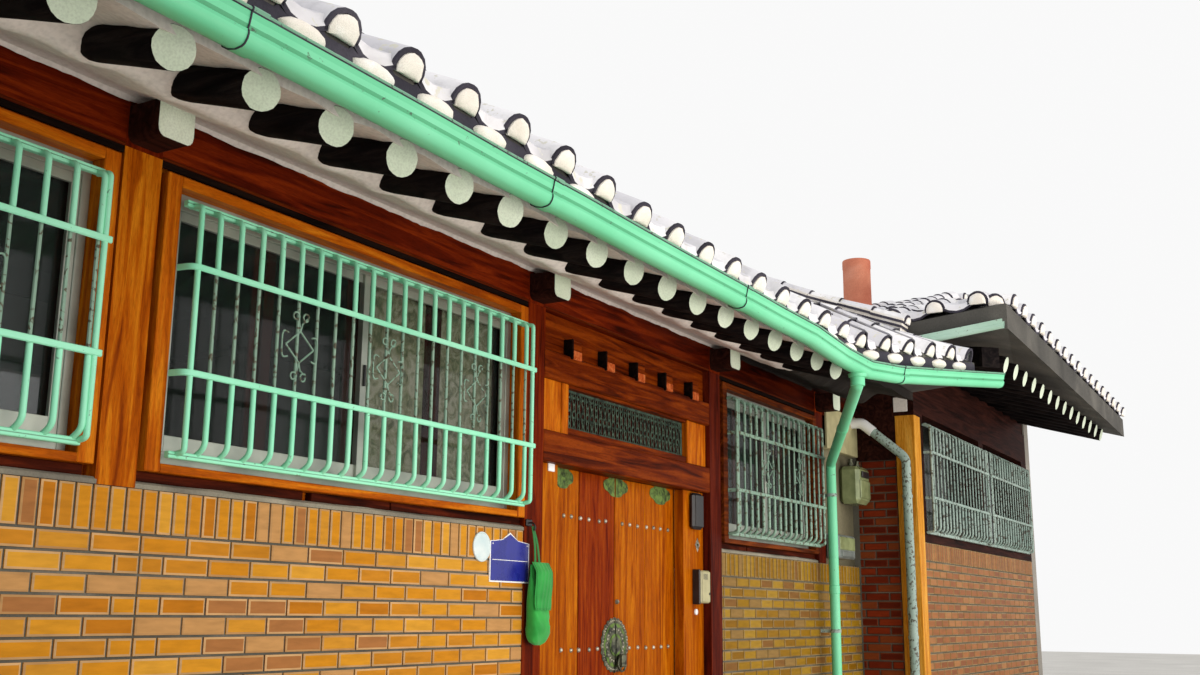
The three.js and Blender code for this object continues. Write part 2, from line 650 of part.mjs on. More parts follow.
function addWingRoof() {
  const slopes = [];
  const addSlope = (points, topAt) => {
    const top = (x, y) => topAt(x, y) + corner(x, y);
    slopes.push(slab(points, top, (x, y) => top(x, y) - WING_ROOF_THICK));
  };
  const west = [
    [WING_EAVE_X, WING_EAVE_Y], [WING_HIP_X, WING_GABLE_Y], [WING_MID, WING_GABLE_Y],
    [WING_MID, back(WING_GABLE_Y)], [WING_HIP_X, back(WING_GABLE_Y)], [WING_EAVE_X, back(WING_EAVE_Y)],
    ...VALLEY.toReversed(),
  ];
  addSlope(west, (x) => wingWest(x));
  const east = [
    [WING_MID, WING_GABLE_Y], [WING_RIGHT, WING_GABLE_Y],
    [WING_RIGHT, back(WING_GABLE_Y)], [WING_MID, back(WING_GABLE_Y)],
  ];
  addSlope(east, (x) => wingEast(x));
  const skirt = [
    [WING_EAVE_X, WING_EAVE_Y], [WING_RIGHT, WING_EAVE_Y],
    [WING_RIGHT, WING_GABLE_Y], [WING_HIP_X, WING_GABLE_Y],
  ];
  addSlope(skirt, (x, y) => wingStreet(y));
  addSlope(skirt.map(([x, y]) => [x, back(y)]), (x, y) => wingStreet(back(y)));
  add("wing_roof", joined(slopes), tile);

  const under = wingStreet(WING_GABLE_Y) - WING_ROOF_THICK;
  const half = (WING_RIDGE - WING_ROOF_THICK - SEAT - under) / WING_SLOPE;
  const gable = [
    [WING_MID - half, under], [WING_MID + half, under], [WING_MID, WING_RIDGE - WING_ROOF_THICK - SEAT],
  ];
  const gableDepth = [WING_GABLE_Y + SEAT, WING_GABLE_Y + 60];
  add("wing_gable_street", elevation(gable, gableDepth), plaster);
  add("wing_gable_yard", elevation(gable, [back(gableDepth[1]), back(gableDepth[0])]), plaster);

  const foot = WING_RIDGE + SEAT;
  const side = foot - WING_SLOPE * RIDGE_HALF;
  const ridge = [
    [WING_MID - RIDGE_HALF, side], [WING_MID, foot], [WING_MID + RIDGE_HALF, side],
    [WING_MID + RIDGE_HALF - 40, foot + WING_RIDGE_STACK],
    [WING_MID - RIDGE_HALF + 40, foot + WING_RIDGE_STACK],
  ];
  add("wing_ridge", elevation(ridge, [WING_GABLE_Y, back(WING_GABLE_Y)]), tile);
}

function addWingFrame() {
  const top = WING_PURLIN_LOW - SEAT;
  const frame = [
    [WING_LEFT, 0], [WING_LEFT + POST, 0], [WING_LEFT + POST, WING_DADO_TOP + SEAT],
    [WING_INNER_RIGHT - SEAT, WING_DADO_TOP + SEAT], [WING_INNER_RIGHT - SEAT, top], [WING_LEFT, top],
  ];
  const up = [WING_WINDOW_LOW, WING_WINDOW_HIGH];
  const windows = wingWindows().map((across) => [across, up]);
  const depth = [WING_FRONT, WING_FRONT + POST];
  add("wing_street_frame", pierced(elevation(frame, depth), depth, windows), darkTimber);
  const glazing = block([WING_LEFT + POST + SEAT, WING_INNER_RIGHT - SEAT],
    [depth[1] + SEAT, depth[1] + 12], [WING_DADO_TOP + 20, WING_WINDOW_HIGH + 40]);
  add("wing_glazing", glazing, glass);

  const ridgeHigh = WING_RIDGE - WING_ROOF_THICK - WING_SLOPE * TIE_HALF - SEAT;
  const ridgeSpan = [WING_GABLE_Y + 60 + SEAT, back(WING_GABLE_Y + 60 + SEAT)];
  const ridge = block([WING_MID - TIE_HALF, WING_MID + TIE_HALF], ridgeSpan,
    [ridgeHigh - RIDGE_BEAM_HIGH, ridgeHigh]);
  const tieHigh = WING_PURLIN_LOW - SEAT;
  const tie = [
    [WING_LEFT + POST + SEAT, tieHigh - 170], [WING_INNER_RIGHT - SEAT, tieHigh - 170],
    [WING_INNER_RIGHT - SEAT, tieHigh], [WING_MID + TIE_HALF, tieHigh],
    [WING_MID + TIE_HALF, ridgeHigh - 160], [WING_MID - TIE_HALF, ridgeHigh - 160],
    [WING_MID - TIE_HALF, tieHigh], [WING_LEFT + POST + SEAT, tieHigh],
  ];
  const streetTie = [WING_FRONT + POST + SEAT, WING_FRONT + 2 * POST];
  const ties = [streetTie, [back(streetTie[1]), back(streetTie[0])]].map((depth) => elevation(tie, depth));
  add("wing_roof_frame", joined([ridge, ...ties]), darkTimber);
}

function wingWindows() {
  const lining = 80;
  return [
    [WING_LEFT + POST + lining, WING_MID - POST / 2],
    [WING_MID + POST / 2, WING_INNER_RIGHT - POST - lining],
  ];
}

// Rafters of one end of the wing: common, jack and hip, on the wall plates.
// The jacks of the west eave stop before the valley, at the Y of westEnd.
function wingRafters(place, westEnd) {
  const pieces = [];
  const reach = RAFTER_END_Y - EAVE_Y;
  const axis = (run) => WING_EAVE_TOP + WING_SLOPE * run - WING_ROOF_THICK - WING_RAFTER_RISE - SEAT;
  const log = (from, to) => pieces.push(bar(place(from), place(to), WING_RAFTER_RADIUS, RAFTER_SIDES));
  const wall = WING_GABLE_Y - WING_EAVE_Y;
  for (let x = WING_EAVE_X + 2 * RAFTER_PITCH; x < WING_INNER_RIGHT; x += RAFTER_PITCH) {
    const run = Math.min(wall, x - WING_EAVE_X);
    log([x, WING_EAVE_Y + reach, axis(reach)], [x, WING_EAVE_Y + run, axis(run)]);
  }
  for (let y = WING_EAVE_Y + 2 * RAFTER_PITCH; y < westEnd; y += RAFTER_PITCH) {
    const run = y - WING_EAVE_Y;
    log([WING_EAVE_X + reach, y, axis(reach)], [WING_EAVE_X + run, y, axis(run)]);
  }
  const hipHalf = 50;
  const hipRing = (run) => [[-1, 0], [1, 0], [1, -150], [-1, -150]].map(([side, drop]) => new THREE.Vector3(
    ...place([WING_EAVE_X + run + side * hipHalf, WING_EAVE_Y + run - side * hipHalf,
      axis(run) + WING_RAFTER_RISE - 20 + drop])));
  pieces.push(loft([hipRing(reach), hipRing(wall + 50)]));
  const plateLow = WING_PURLIN_LOW;
  const plate = (from, to) => pieces.push(loft([from, to].map((x) => (
    [[15, 0], [POST - 15, 0], [POST - 15, 6], [15, 6]].map(([y, rise]) => new THREE.Vector3(
      ...place([x, WING_FRONT + y, rise ? WING_PURLIN_HIGH + rise : plateLow])))))));
  plate(WING_LEFT, WING_INNER_RIGHT - SEAT);
  return pieces;
}

function addWingRafters() {
  const street = wingRafters((point) => point, VALLEY_FOOT_Y - 100);
  const yard = wingRafters(([x, y, z]) => [x, back(y), z], back(VALLEY_BACK_Y) - 100);
  add("wing_rafters_street", joined(street), rafterTimber);
  add("wing_rafters_yard", joined(yard), rafterTimber);
}

function addYardWall() {
  const outer = [RANGE_DEPTH - FRAME_THICK, RANGE_DEPTH];
  const inner = [outer[0] - INFILL_THICK + SEAT, outer[0] - SEAT];
  const x0 = RANGE_LEFT + SEAT;
  const x1 = WING_INNER_RIGHT - SEAT;
  const rangeHigh = PURLIN_LOW - SEAT;
  const wingHigh = WING_PURLIN_LOW - SEAT;
  const wall = [
    [x0, 0], [x1, 0], [x1, wingHigh], [WING_LEFT, wingHigh], [WING_LEFT, rangeHigh], [x0, rangeHigh],
  ];
  const lines = [right("1"), POST_X.a, POST_X.b, POST_X.c, POST_X.d, WING_LEFT + POST / 2, WING_MID,
    WING_INNER_RIGHT - POST / 2];
  const bays = lines.slice(0, -1).map((x, i) => [x + (i ? POST / 2 : 0), lines[i + 1] - POST / 2]);
  const gateBay = 2;
  const shutters = bays.filter((_, i) => i !== gateBay);
  const low = shutters.map((across) => [across, [YARD_SILL, DADO_TOP - YARD_RAIL]]);
  const high = bays.map((across) => [across, [DADO_TOP + YARD_RAIL, TOP_BEAM_LOW]]);
  const passage = [[GATE_LEFT, GATE_RIGHT], [-10, LINTEL_LOW]];
  add("yard_frame", pierced(elevation(wall, outer), outer, [...low, ...high, passage]), darkTimber);
  const windows = shutters.filter(([a, b]) => b - a > 4 * YARD_WINDOW_INSET)
    .map(([a, b]) => [[a + YARD_WINDOW_INSET, b - YARD_WINDOW_INSET], YARD_WINDOW]);
  add("yard_infill", pierced(elevation(wall, inner), inner, [...windows, passage]), plaster);
  const glassDepth = [inner[0] - 10 - SEAT, inner[0] - SEAT];
  const glassLeft = right("1") + YARD_WINDOW_INSET - YARD_RAIL;
  add("yard_glazing_left", block([glassLeft, left("b")], glassDepth, YARD_GLASS), glass);
  add("yard_glazing_right", block([right("c"), WING_INNER_RIGHT - POST], glassDepth, YARD_GLASS), glass);
}

function ring(across, up, depth, opening) {
  return pierced(block(across, depth, up), depth, [opening]);
}

function addWindows() {
  const bays = { 1: ["1", "a"], 2: ["a", "b"], 3: ["c", "d"] };
  for (const [number, [from, to]] of Object.entries(bays)) {
    const x0 = right(from) + SEAT;
    const x1 = left(to) - SEAT;
    const hole = [[x0 + LINING_WIDE, x1 - LINING_WIDE], [WINDOW_LOW, WINDOW_HIGH]];
    const lining = ring([x0, x1], [DADO_TOP + SEAT, TOP_BEAM_LOW - SEAT], LINING_DEPTH, hole);
    const casing = ring([x0 + CASING_INSET, x1 - CASING_INSET], [CASING_LOW, CASING_HIGH],
      [CASING_FRONT, LINING_DEPTH[0]], hole);
    add(`window_frame_${number}`, joined([lining, casing]), orangeTimber);
    const [paneX, paneZ] = hole.map(([from, to]) => [from + SEAT, to - SEAT]);
    add(`window_pane_${number}`, block(paneX, PANE_DEPTH, paneZ), glass);
    const [insetLeft, insetRight] = GRILLE_INSET[number];
    addGrille(`window_grille_${number}`, [x0 + insetLeft, x1 - insetRight], CASING_FRONT, 0, mintPaint);
  }
  wingWindows().forEach(([x0, x1], i) => {
    addGrille(`wing_grille_${i + 1}`, [x0 - WING_GRILLE_OVER, x1 + WING_GRILLE_OVER], WING_FRONT,
      WING_GRILLE_LIFT, agedMetal);
  });
}

// A grille cage: frame, two long rails and arms back to the wall, without its thin bars
function addGrille(name, [x0, x1], wallY, lift, material) {
  const y0 = wallY - CASING_FRONT + GRILLE_Y;
  const depth = [y0, y0 + GRILLE_BAR];
  const low = GRILLE_LOW + lift;
  const high = GRILLE_HIGH + lift;
  const inside = [[x0 + GRILLE_BAR, x1 - GRILLE_BAR], [low + GRILLE_BAR, high - GRILLE_BAR]];
  const pieces = [ring([x0, x1], [low, high], depth, inside)];
  for (const z of GRILLE_RAILS) {
    pieces.push(block([x0 - GRILLE_RAIL_END, x1 + GRILLE_RAIL_END], [y0 - 6, y0 + 4],
      [z + lift - GRILLE_RAIL_HALF, z + lift + GRILLE_RAIL_HALF]));
  }
  for (const x of [x0, x1 - GRILLE_BAR]) {
    for (const z of [low, high - GRILLE_BAR]) {
      pieces.push(block([x, x + GRILLE_BAR], [y0 + 2, wallY - SEAT], [z, z + GRILLE_BAR]));
    }
  }
  add(name, joined(pieces), material);
}

function addNarrowBay() {
  const panel = block([right("d") + SEAT, WING_LEFT - SEAT], [40, 120],
    [DADO_TOP + SEAT, TOP_BEAM_LOW - SEAT]);
  add("narrow_bay_panel", panel, plaster);
}

function socket(x, [z0, z1]) {
  return block([x - SOCKET_HALF, x + SOCKET_HALF], [JAMB_BACK, JAMB_BACK + SOCKET_DEPTH], [z0, z1]);
}

function addGateFrame() {
  const x0 = right("b") + SEAT;
  const x1 = left("c") - SEAT;
  const high = TOP_BEAM_LOW - SEAT;
  const board = [JAMB_FRONT, JAMB_BACK];
  add("gate_jamb_left", block([x0, GATE_LEFT], board, [0, LINTEL_LOW - SEAT]), orangeTimber);
  add("gate_jamb_right", block([GATE_RIGHT, x1], board, [0, LINTEL_LOW - SEAT]), orangeTimber);

  const pins = [GATE_LEFT - LEAF_LAP + PIVOT_INSET, GATE_RIGHT + LEAF_LAP - PIVOT_INSET];
  const pinY = JAMB_BACK + LEAF_CLEAR + LEAF_THICK / 2;
  const holes = ([z0, z1]) => pins.map((x) => bar([x, pinY, z0], [x, pinY, z1], SOCKET_RADIUS, 12));
  const lowSockets = pins.map((x) => socket(x, [SOCKET_FOOT, LEAF_LOW - 8]));
  const sill = block([GATE_LEFT + SEAT, GATE_RIGHT - SEAT], board, [0, THRESHOLD_TOP]);
  const trimmed = lowSockets.map((piece) => cut(piece, holes([PIN_FOOT - SEAT, LEAF_LOW])));
  add("gate_threshold", joined([sill, ...trimmed]), darkTimber);

  const transom = [[GATE_LEFT + 50, GATE_RIGHT + 5], [TRANSOM_LOW, TRANSOM_HIGH]];
  const pieces = [
    ring([x0, x1], [LINTEL_HIGH, GATE_BEAM_LOW], [TRANSOM_FRAME_FRONT, JAMB_BACK], transom),
    block([x0, x1], [0, JAMB_BACK], [LINTEL_LOW, LINTEL_HIGH]),
    block([x0, x1], [0, JAMB_BACK], [GATE_BEAM_LOW, GATE_BEAM_HIGH]),
    block([x0, x1], [UPPER_BOARD_FRONT, JAMB_BACK], [GATE_BEAM_HIGH, high]),
    block([x0, x1], [10, UPPER_BOARD_FRONT], UPPER_RAIL),
  ];
  for (let i = -2; i <= 2; i += 1) {
    const x = TENON_MIDDLE + i * TENON_PITCH;
    pieces.push(block([x - TENON_HALF, x + TENON_HALF], [TENON_FRONT, UPPER_BOARD_FRONT], TENON_HEIGHT));
  }
  const highSockets = pins.map((x) => socket(x, [LEAF_HIGH + 8, LEAF_HIGH + PIN_HEAD + 23]));
  const bored = highSockets.map((piece) => cut(piece, holes([LEAF_HIGH, LEAF_HIGH + PIN_HEAD + 5])));
  add("gate_head", joined([...pieces, ...bored]), darkTimber);
  const lattice = block([transom[0][0] + SEAT, transom[0][1] - SEAT], LATTICE_DEPTH,
    [TRANSOM_LOW + SEAT, TRANSOM_HIGH - SEAT]);
  add("gate_transom_lattice", lattice, agedMetal);
}

function addGateLeaves() {
  const depth = [JAMB_BACK + LEAF_CLEAR, JAMB_BACK + LEAF_CLEAR + LEAF_THICK];
  const sides = {
    left: { edge: GATE_LEFT - LEAF_LAP, meet: GATE_SEAM - SEAM_GAP / 2, inward: 1 },
    right: { edge: GATE_RIGHT + LEAF_LAP, meet: GATE_SEAM + SEAM_GAP / 2, inward: -1 },
  };
  for (const [side, { edge, meet, inward }] of Object.entries(sides)) {
    const across = inward > 0 ? [edge, meet] : [meet, edge];
    const pinX = edge + inward * PIVOT_INSET;
    const pinY = (depth[0] + depth[1]) / 2;
    const leaf = block(across, depth, [LEAF_LOW, LEAF_HIGH]);
    const pin = bar([pinX, pinY, PIN_FOOT], [pinX, pinY, LEAF_HIGH + PIN_HEAD], PIVOT_RADIUS, 12);

    const disc = new THREE.Shape();
    const start = inward > 0 ? Math.PI / 2 : -Math.PI / 2;
    disc.absarc(meet, MEDALLION_Z, MEDALLION_RADIUS - SEAM_GAP / 2, start, start + Math.PI);
    const medallion = new THREE.ExtrudeGeometry(disc, {
      depth: MEDALLION_THICK + 5, bevelEnabled: false, curveSegments: 10,
    });
    medallion.rotateX(Math.PI / 2);
    medallion.translate(0, depth[0] + 5, 0);
    add(`gate_leaf_${side}`, joined([leaf, pin, medallion]), orangeTimber);
  }
}

// Open gutter through stations of X, Y and Z of its bottom, set across the given axis
function channel(stations, axis, scale) {
  const section = [...GUTTER_SKIN, ...GUTTER_INSIDE];
  return loft(stations.map((station) => section.map(([out, up]) => {
    const point = new THREE.Vector3(...station);
    point[axis] += out * scale;
    point.z += up * scale;
    return point;
  })));
}

function addRainwater() {
  add("street_gutter", channel([
    [HOUSE_LEFT + 20, GUTTER_Y, GUTTER_LOW + 57],
    [6500, GUTTER_Y, GUTTER_LOW + 30],
    [7000, GUTTER_Y, GUTTER_LOW + 2],
    [7430, GUTTER_Y, GUTTER_LOW],
    [7780, GUTTER_Y - 68, GUTTER_LOW + 19],
    [GUTTER_END, GUTTER_Y - FLARE_OUT - 65, GUTTER_LOW + 205],
  ], "y", 1), mintPaint);

  const innerRim = Math.max(...GUTTER_SKIN.map(([out]) => out));
  const wingGutterX = WING_EAVE_X - innerRim * WING_GUTTER_SCALE - SEAT;
  add("wing_gutter", channel([
    [wingGutterX, -760, WING_EAVE_TOP - 145],
    [wingGutterX, WING_EAVE_Y + 20, WING_EAVE_TOP - 70],
  ], "x", WING_GUTTER_SCALE), palePaint);

  const first = [
    [OUTLET_X, OUTLET_Y, GUTTER_LOW - SEAT], [OUTLET_X, OUTLET_Y, GUTTER_LOW - 60],
    [9262, -118, 2540], [9262, -118, 2440], [9262, -118, 80], [9262, -165, 48],
  ];
  add("downpipe_range", pipe(first, PIPE_RADIUS, PIPE_SIDES), mintPaint);
  const second = [
    [10075, -SEAT, 2960], [10075, -100, 2960], [10118, -445, 2660], [10118, -445, 2560], [10118, -445, 20],
  ];
  add("downpipe_corner", pipe(second, PIPE_RADIUS, PIPE_SIDES), palePaint);
}

function addChimney() {
  const foot = wingWest(CHIMNEY_X);
  const ends = [foot - 60, CHIMNEY_TOP].map((z) => [CHIMNEY_X, CHIMNEY_Y, z]);
  const stack = bar(...ends, CHIMNEY_RADIUS, 20);
  const reach = 2 * CHIMNEY_RADIUS;
  const around = [[-1, -1], [1, -1], [1, 1], [-1, 1]];
  const slope = slab(around.map(([x, y]) => [CHIMNEY_X + x * reach, CHIMNEY_Y + y * reach]),
    (x) => wingWest(x) + SEAT, () => foot - reach);
  add("chimney", cut(stack, [slope]), terracotta);
}

function addBag() {
  add("delivery_bag", block(BAG.across, [BAG.front, -SEAT], BAG.up), greenFabric);
}

addMasonry();
addPosts();
addTopBeam();
addRoofFrame();
addRafters();
addRangeRoof();
addWingRoof();
addWingFrame();
addWingRafters();
addYardWall();
addWindows();
addNarrowBay();
addGateFrame();
addGateLeaves();
addRainwater();
addChimney();
addBag();

// The origin is on the ground, under the middle of everything
const extent = new THREE.Box3().setFromObject(house);
const middle = extent.getCenter(new THREE.Vector3());
house.position.set(-middle.x, -middle.y, -extent.min.z);

export default house;
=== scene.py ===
"""A tiled timber house by a street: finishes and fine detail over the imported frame."""
import math
import random

import bmesh
import bpy
from mathutils import Matrix, Vector


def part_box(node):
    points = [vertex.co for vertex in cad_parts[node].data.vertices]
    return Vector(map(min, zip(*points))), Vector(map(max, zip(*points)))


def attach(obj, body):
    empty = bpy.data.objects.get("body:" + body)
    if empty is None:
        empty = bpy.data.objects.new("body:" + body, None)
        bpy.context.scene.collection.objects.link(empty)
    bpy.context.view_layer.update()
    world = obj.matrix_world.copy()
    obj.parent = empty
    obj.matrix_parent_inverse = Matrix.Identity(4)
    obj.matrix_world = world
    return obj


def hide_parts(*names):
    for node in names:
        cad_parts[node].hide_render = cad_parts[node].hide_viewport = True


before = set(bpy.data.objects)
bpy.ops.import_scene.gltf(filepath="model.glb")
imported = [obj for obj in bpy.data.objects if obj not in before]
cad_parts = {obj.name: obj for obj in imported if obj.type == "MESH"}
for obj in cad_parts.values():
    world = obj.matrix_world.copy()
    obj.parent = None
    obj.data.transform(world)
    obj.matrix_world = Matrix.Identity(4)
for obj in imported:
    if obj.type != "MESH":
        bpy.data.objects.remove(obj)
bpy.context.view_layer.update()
chance = random.Random(11)

# Drawing frame, in metres: X runs along the street, Y into the house, with the street faces of the posts on
# Y = 0 and the ground on Z = 0. Every made piece is drawn in it and placed at ORIGIN.
HOUSE_LEFT = 0.035
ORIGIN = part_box("party_wall_left")[0] - Vector((HOUSE_LEFT, 0, 0))


def span(node):
    """Lowest and highest corner of a CAD node in the drawing frame."""
    low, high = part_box(node)
    return low - ORIGIN, high - ORIGIN


# Driving sizes that the CAD model shares
POST = 0.160
SLOPE = 0.5
RAFTER_RADIUS = 0.080
RAFTER_PITCH = 0.333
RAFTER_FIRST = 0.582
RAFTER_END = Vector((0, -0.780, 2.925))
RAFTER_FOOT_Y = 0.045
EAVE_LOG_SLOPE = 0.3
EAVE_LOG_ROOT_Y = -0.398
LAST_STREET_LOG = 7.700
BEAM_END_X = (2.815, 5.315, 7.440, 9.345)
EAVE_Y = -0.950
EAVE_TOP = 3.100
RIDGE_Y = 1.500
DEPTH = 3.000
FLARE_START = 7.500
FLARE_OUT = 0.300
EAVE_LINE = [(0.035, 0.0), (3.700, 0.0), (4.800, -0.068), (7.500, -0.062), (9.200, 0.105)]
WING_RAFTER_RADIUS = 0.065
WING_EAVE = Vector((9.200, -1.500, 3.500))
WING_SLOPE = 0.29
WING_LEFT = 10.200
WING_MID = 12.400
WING_RIGHT = 14.600
WING_GABLE_Y = -0.450
WING_LIFT = 0.120
WING_FRONT = -0.500
DADO_TOP = 1.800
BEAM_LOW = 2.945
BEAM_HIGH = 3.120

BRICK = Vector((0.200, 0, 0.066))
JOINT = 0.009
TILE_FIRST = 0.167
VERGE_X = 9.060
VERGE_BOW = 0.060
TILE_PITCH = 0.3185
TILE_RADIUS = 0.076
TILE_LIFT = 0.026
TILE_LENGTH = 0.270


# Air between two solids that rest on each other
SEAT = 0.0003

# Edges bent more than this stay crisp
SHARP = math.radians(38)


# Mesh building

CORNERS = [(i, j, k) for i in (0, 1) for j in (0, 1) for k in (0, 1)]
SQUARE = ((0, 0), (1, 0), (1, 1), (0, 1))


class Shape:
    """The faces of one piece, each with its material's number, a tint from 0 to 1, and smooth or flat."""

    def __init__(self):
        self.points = []
        self.faces = []
        self.kinds = []
        self.tints = []
        self.soft = []

    def add(self, indices, kind, tint=0.5, soft=False):
        self.faces.append(tuple(indices))
        self.kinds.append(kind)
        self.tints.append(tint)
        self.soft.append(soft)

    def face(self, corners, kind=0, tint=0.5):
        first = len(self.points)
        self.points.extend(corners)
        self.add(range(first, first + len(corners)), kind, tint)

    def weave(self, rows, kind=0, tint=0.5, ring=False, soft=True):
        """Faces between rows of points of one length, closed round each row where ring is true."""
        first = len(self.points)
        width = len(rows[0])
        for row in rows:
            self.points.extend(row)
        for r in range(len(rows) - 1):
            for c in range(width if ring else width - 1):
                a = first + r * width + c
                b = first + r * width + (c + 1) % width
                self.add((a, b, b + width, a + width), kind, tint, soft)

    def loft(self, rows, kind=0, tint=0.5, soft=True):
        """A closed skin through rings of points, with flat ends."""
        self.weave(rows, kind, tint, ring=True, soft=soft)
        self.face(rows[0][::-1], kind, tint)
        self.face(rows[-1], kind, tint)

    def block(self, low, high, kind=0, edge=0.0):
        """A box with chamfered edges."""
        low, high = Vector(low), Vector(high)
        first = len(self.points)
        index = {}
        for sign in CORNERS:
            for axis in range(3):
                point = Vector()
                for a in range(3):
                    inset = 0 if a == axis else edge
                    point[a] = high[a] - inset if sign[a] else low[a] + inset
                index[sign, axis] = first + len(index)
                self.points.append(point)
        for axis in range(3):
            p, q = [a for a in range(3) if a != axis]
            for side in (0, 1):
                loop = []
                for i, j in SQUARE:
                    sign = [0, 0, 0]
                    sign[axis], sign[p], sign[q] = side, i, j
                    loop.append(index[tuple(sign), axis])
                self.add(loop, kind)
        if edge <= 0:
            return
        for along in range(3):
            p, q = [a for a in range(3) if a != along]
            for i, j in SQUARE:
                near, far = [0, 0, 0], [0, 0, 0]
                near[p] = far[p] = i
                near[q] = far[q] = j
                far[along] = 1
                near, far = tuple(near), tuple(far)
                self.add((index[near, p], index[far, p], index[far, q], index[near, q]), kind)
        for sign in CORNERS:
            self.add((index[sign, 0], index[sign, 1], index[sign, 2]), kind)

    def tube(self, path, radius, sides, kind=0, tint=0.5):
        """A round bar along a path; radius is one number, or one for each point."""
        path = [Vector(p) for p in path]
        radii = radius if isinstance(radius, (list, tuple)) else [radius] * len(path)
        tangent = (path[1] - path[0]).normalized()
        helper = Vector((0, 0, 1)) if abs(tangent.z) < 0.9 else Vector((1, 0, 0))
        side = tangent.cross(helper).normalized()
        rows = []
        for i, point in enumerate(path):
            before = (point - path[i - 1]).normalized() if i else tangent
            after = (path[i + 1] - point).normalized() if i + 1 < len(path) else before
            tangent = (before + after).normalized()
            side = (side - tangent * side.dot(tangent)).normalized()
            up = side.cross(tangent)
            rows.append([point + radii[i] * (side * math.cos(t) + up * math.sin(t)) for t in turns(sides)])
        self.loft(rows, kind, tint)

    def spun(self, centre, profile, sides, kind=0, axis="Y"):
        """A round body from (distance, radius) pairs. Distance runs along -Y, or up Z."""
        rows = []
        for reach, radius in profile:
            ring = []
            for t in turns(sides):
                a, b = radius * math.cos(t), radius * math.sin(t)
                offset = (a, -reach, b) if axis == "Y" else (a, b, reach)
                ring.append(Vector(centre) + Vector(offset))
            rows.append(ring)
        self.loft(rows, kind)

    def piece(self, name, materials, body="house", replaces=()):
        """Makes the piece, hangs it on the empty of the body it rides on, and hides the CAD nodes it stands
        for.
        """
        mesh = bpy.data.meshes.new(name)
        mesh.from_pydata([tuple(p) for p in self.points], [], self.faces)
        for material in materials:
            mesh.materials.append(material)
        mesh.polygons.foreach_set("material_index", self.kinds)
        mesh.polygons.foreach_set("use_smooth", self.soft)
        mesh.attributes.new("tint", "FLOAT", "FACE").data.foreach_set("value", self.tints)
        solid = bmesh.new()
        solid.from_mesh(mesh)
        bmesh.ops.remove_doubles(solid, verts=solid.verts, dist=0.00002)
        bmesh.ops.recalc_face_normals(solid, faces=solid.faces)
        for edge in solid.edges:
            edge.smooth = not edge.is_manifold or edge.calc_face_angle() < SHARP
        solid.to_mesh(mesh)
        solid.free()
        obj = bpy.data.objects.new(name, mesh)
        bpy.context.scene.collection.objects.link(obj)
        obj.location = ORIGIN
        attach(obj, body)
        if replaces:
            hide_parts(*replaces)
        return obj


def blocks(name, materials, *boxes):
    """A piece made of boxes, each its low corner, high corner, material's number and chamfer."""
    shape = Shape()
    for low, high, kind, edge in boxes:
        shape.block(low, high, kind, edge)
    return shape.piece(name, materials)


def turns(count):
    """Equal steps of a full turn, from 0."""
    return [2 * math.pi * i / count for i in range(count)]


def steps(start, stop, count):
    """Values from start to stop in equal steps."""
    return [start + (stop - start) * i / count for i in range(count + 1)]


# Materials

def rgb(text):
    """Linear colour from a screen colour such as c08030."""
    values = [int(text[i:i + 2], 16) / 255 for i in (0, 2, 4)]
    return tuple(v / 12.92 if v <= 0.04045 else ((v + 0.055) / 1.055) ** 2.4 for v in values) + (1,)


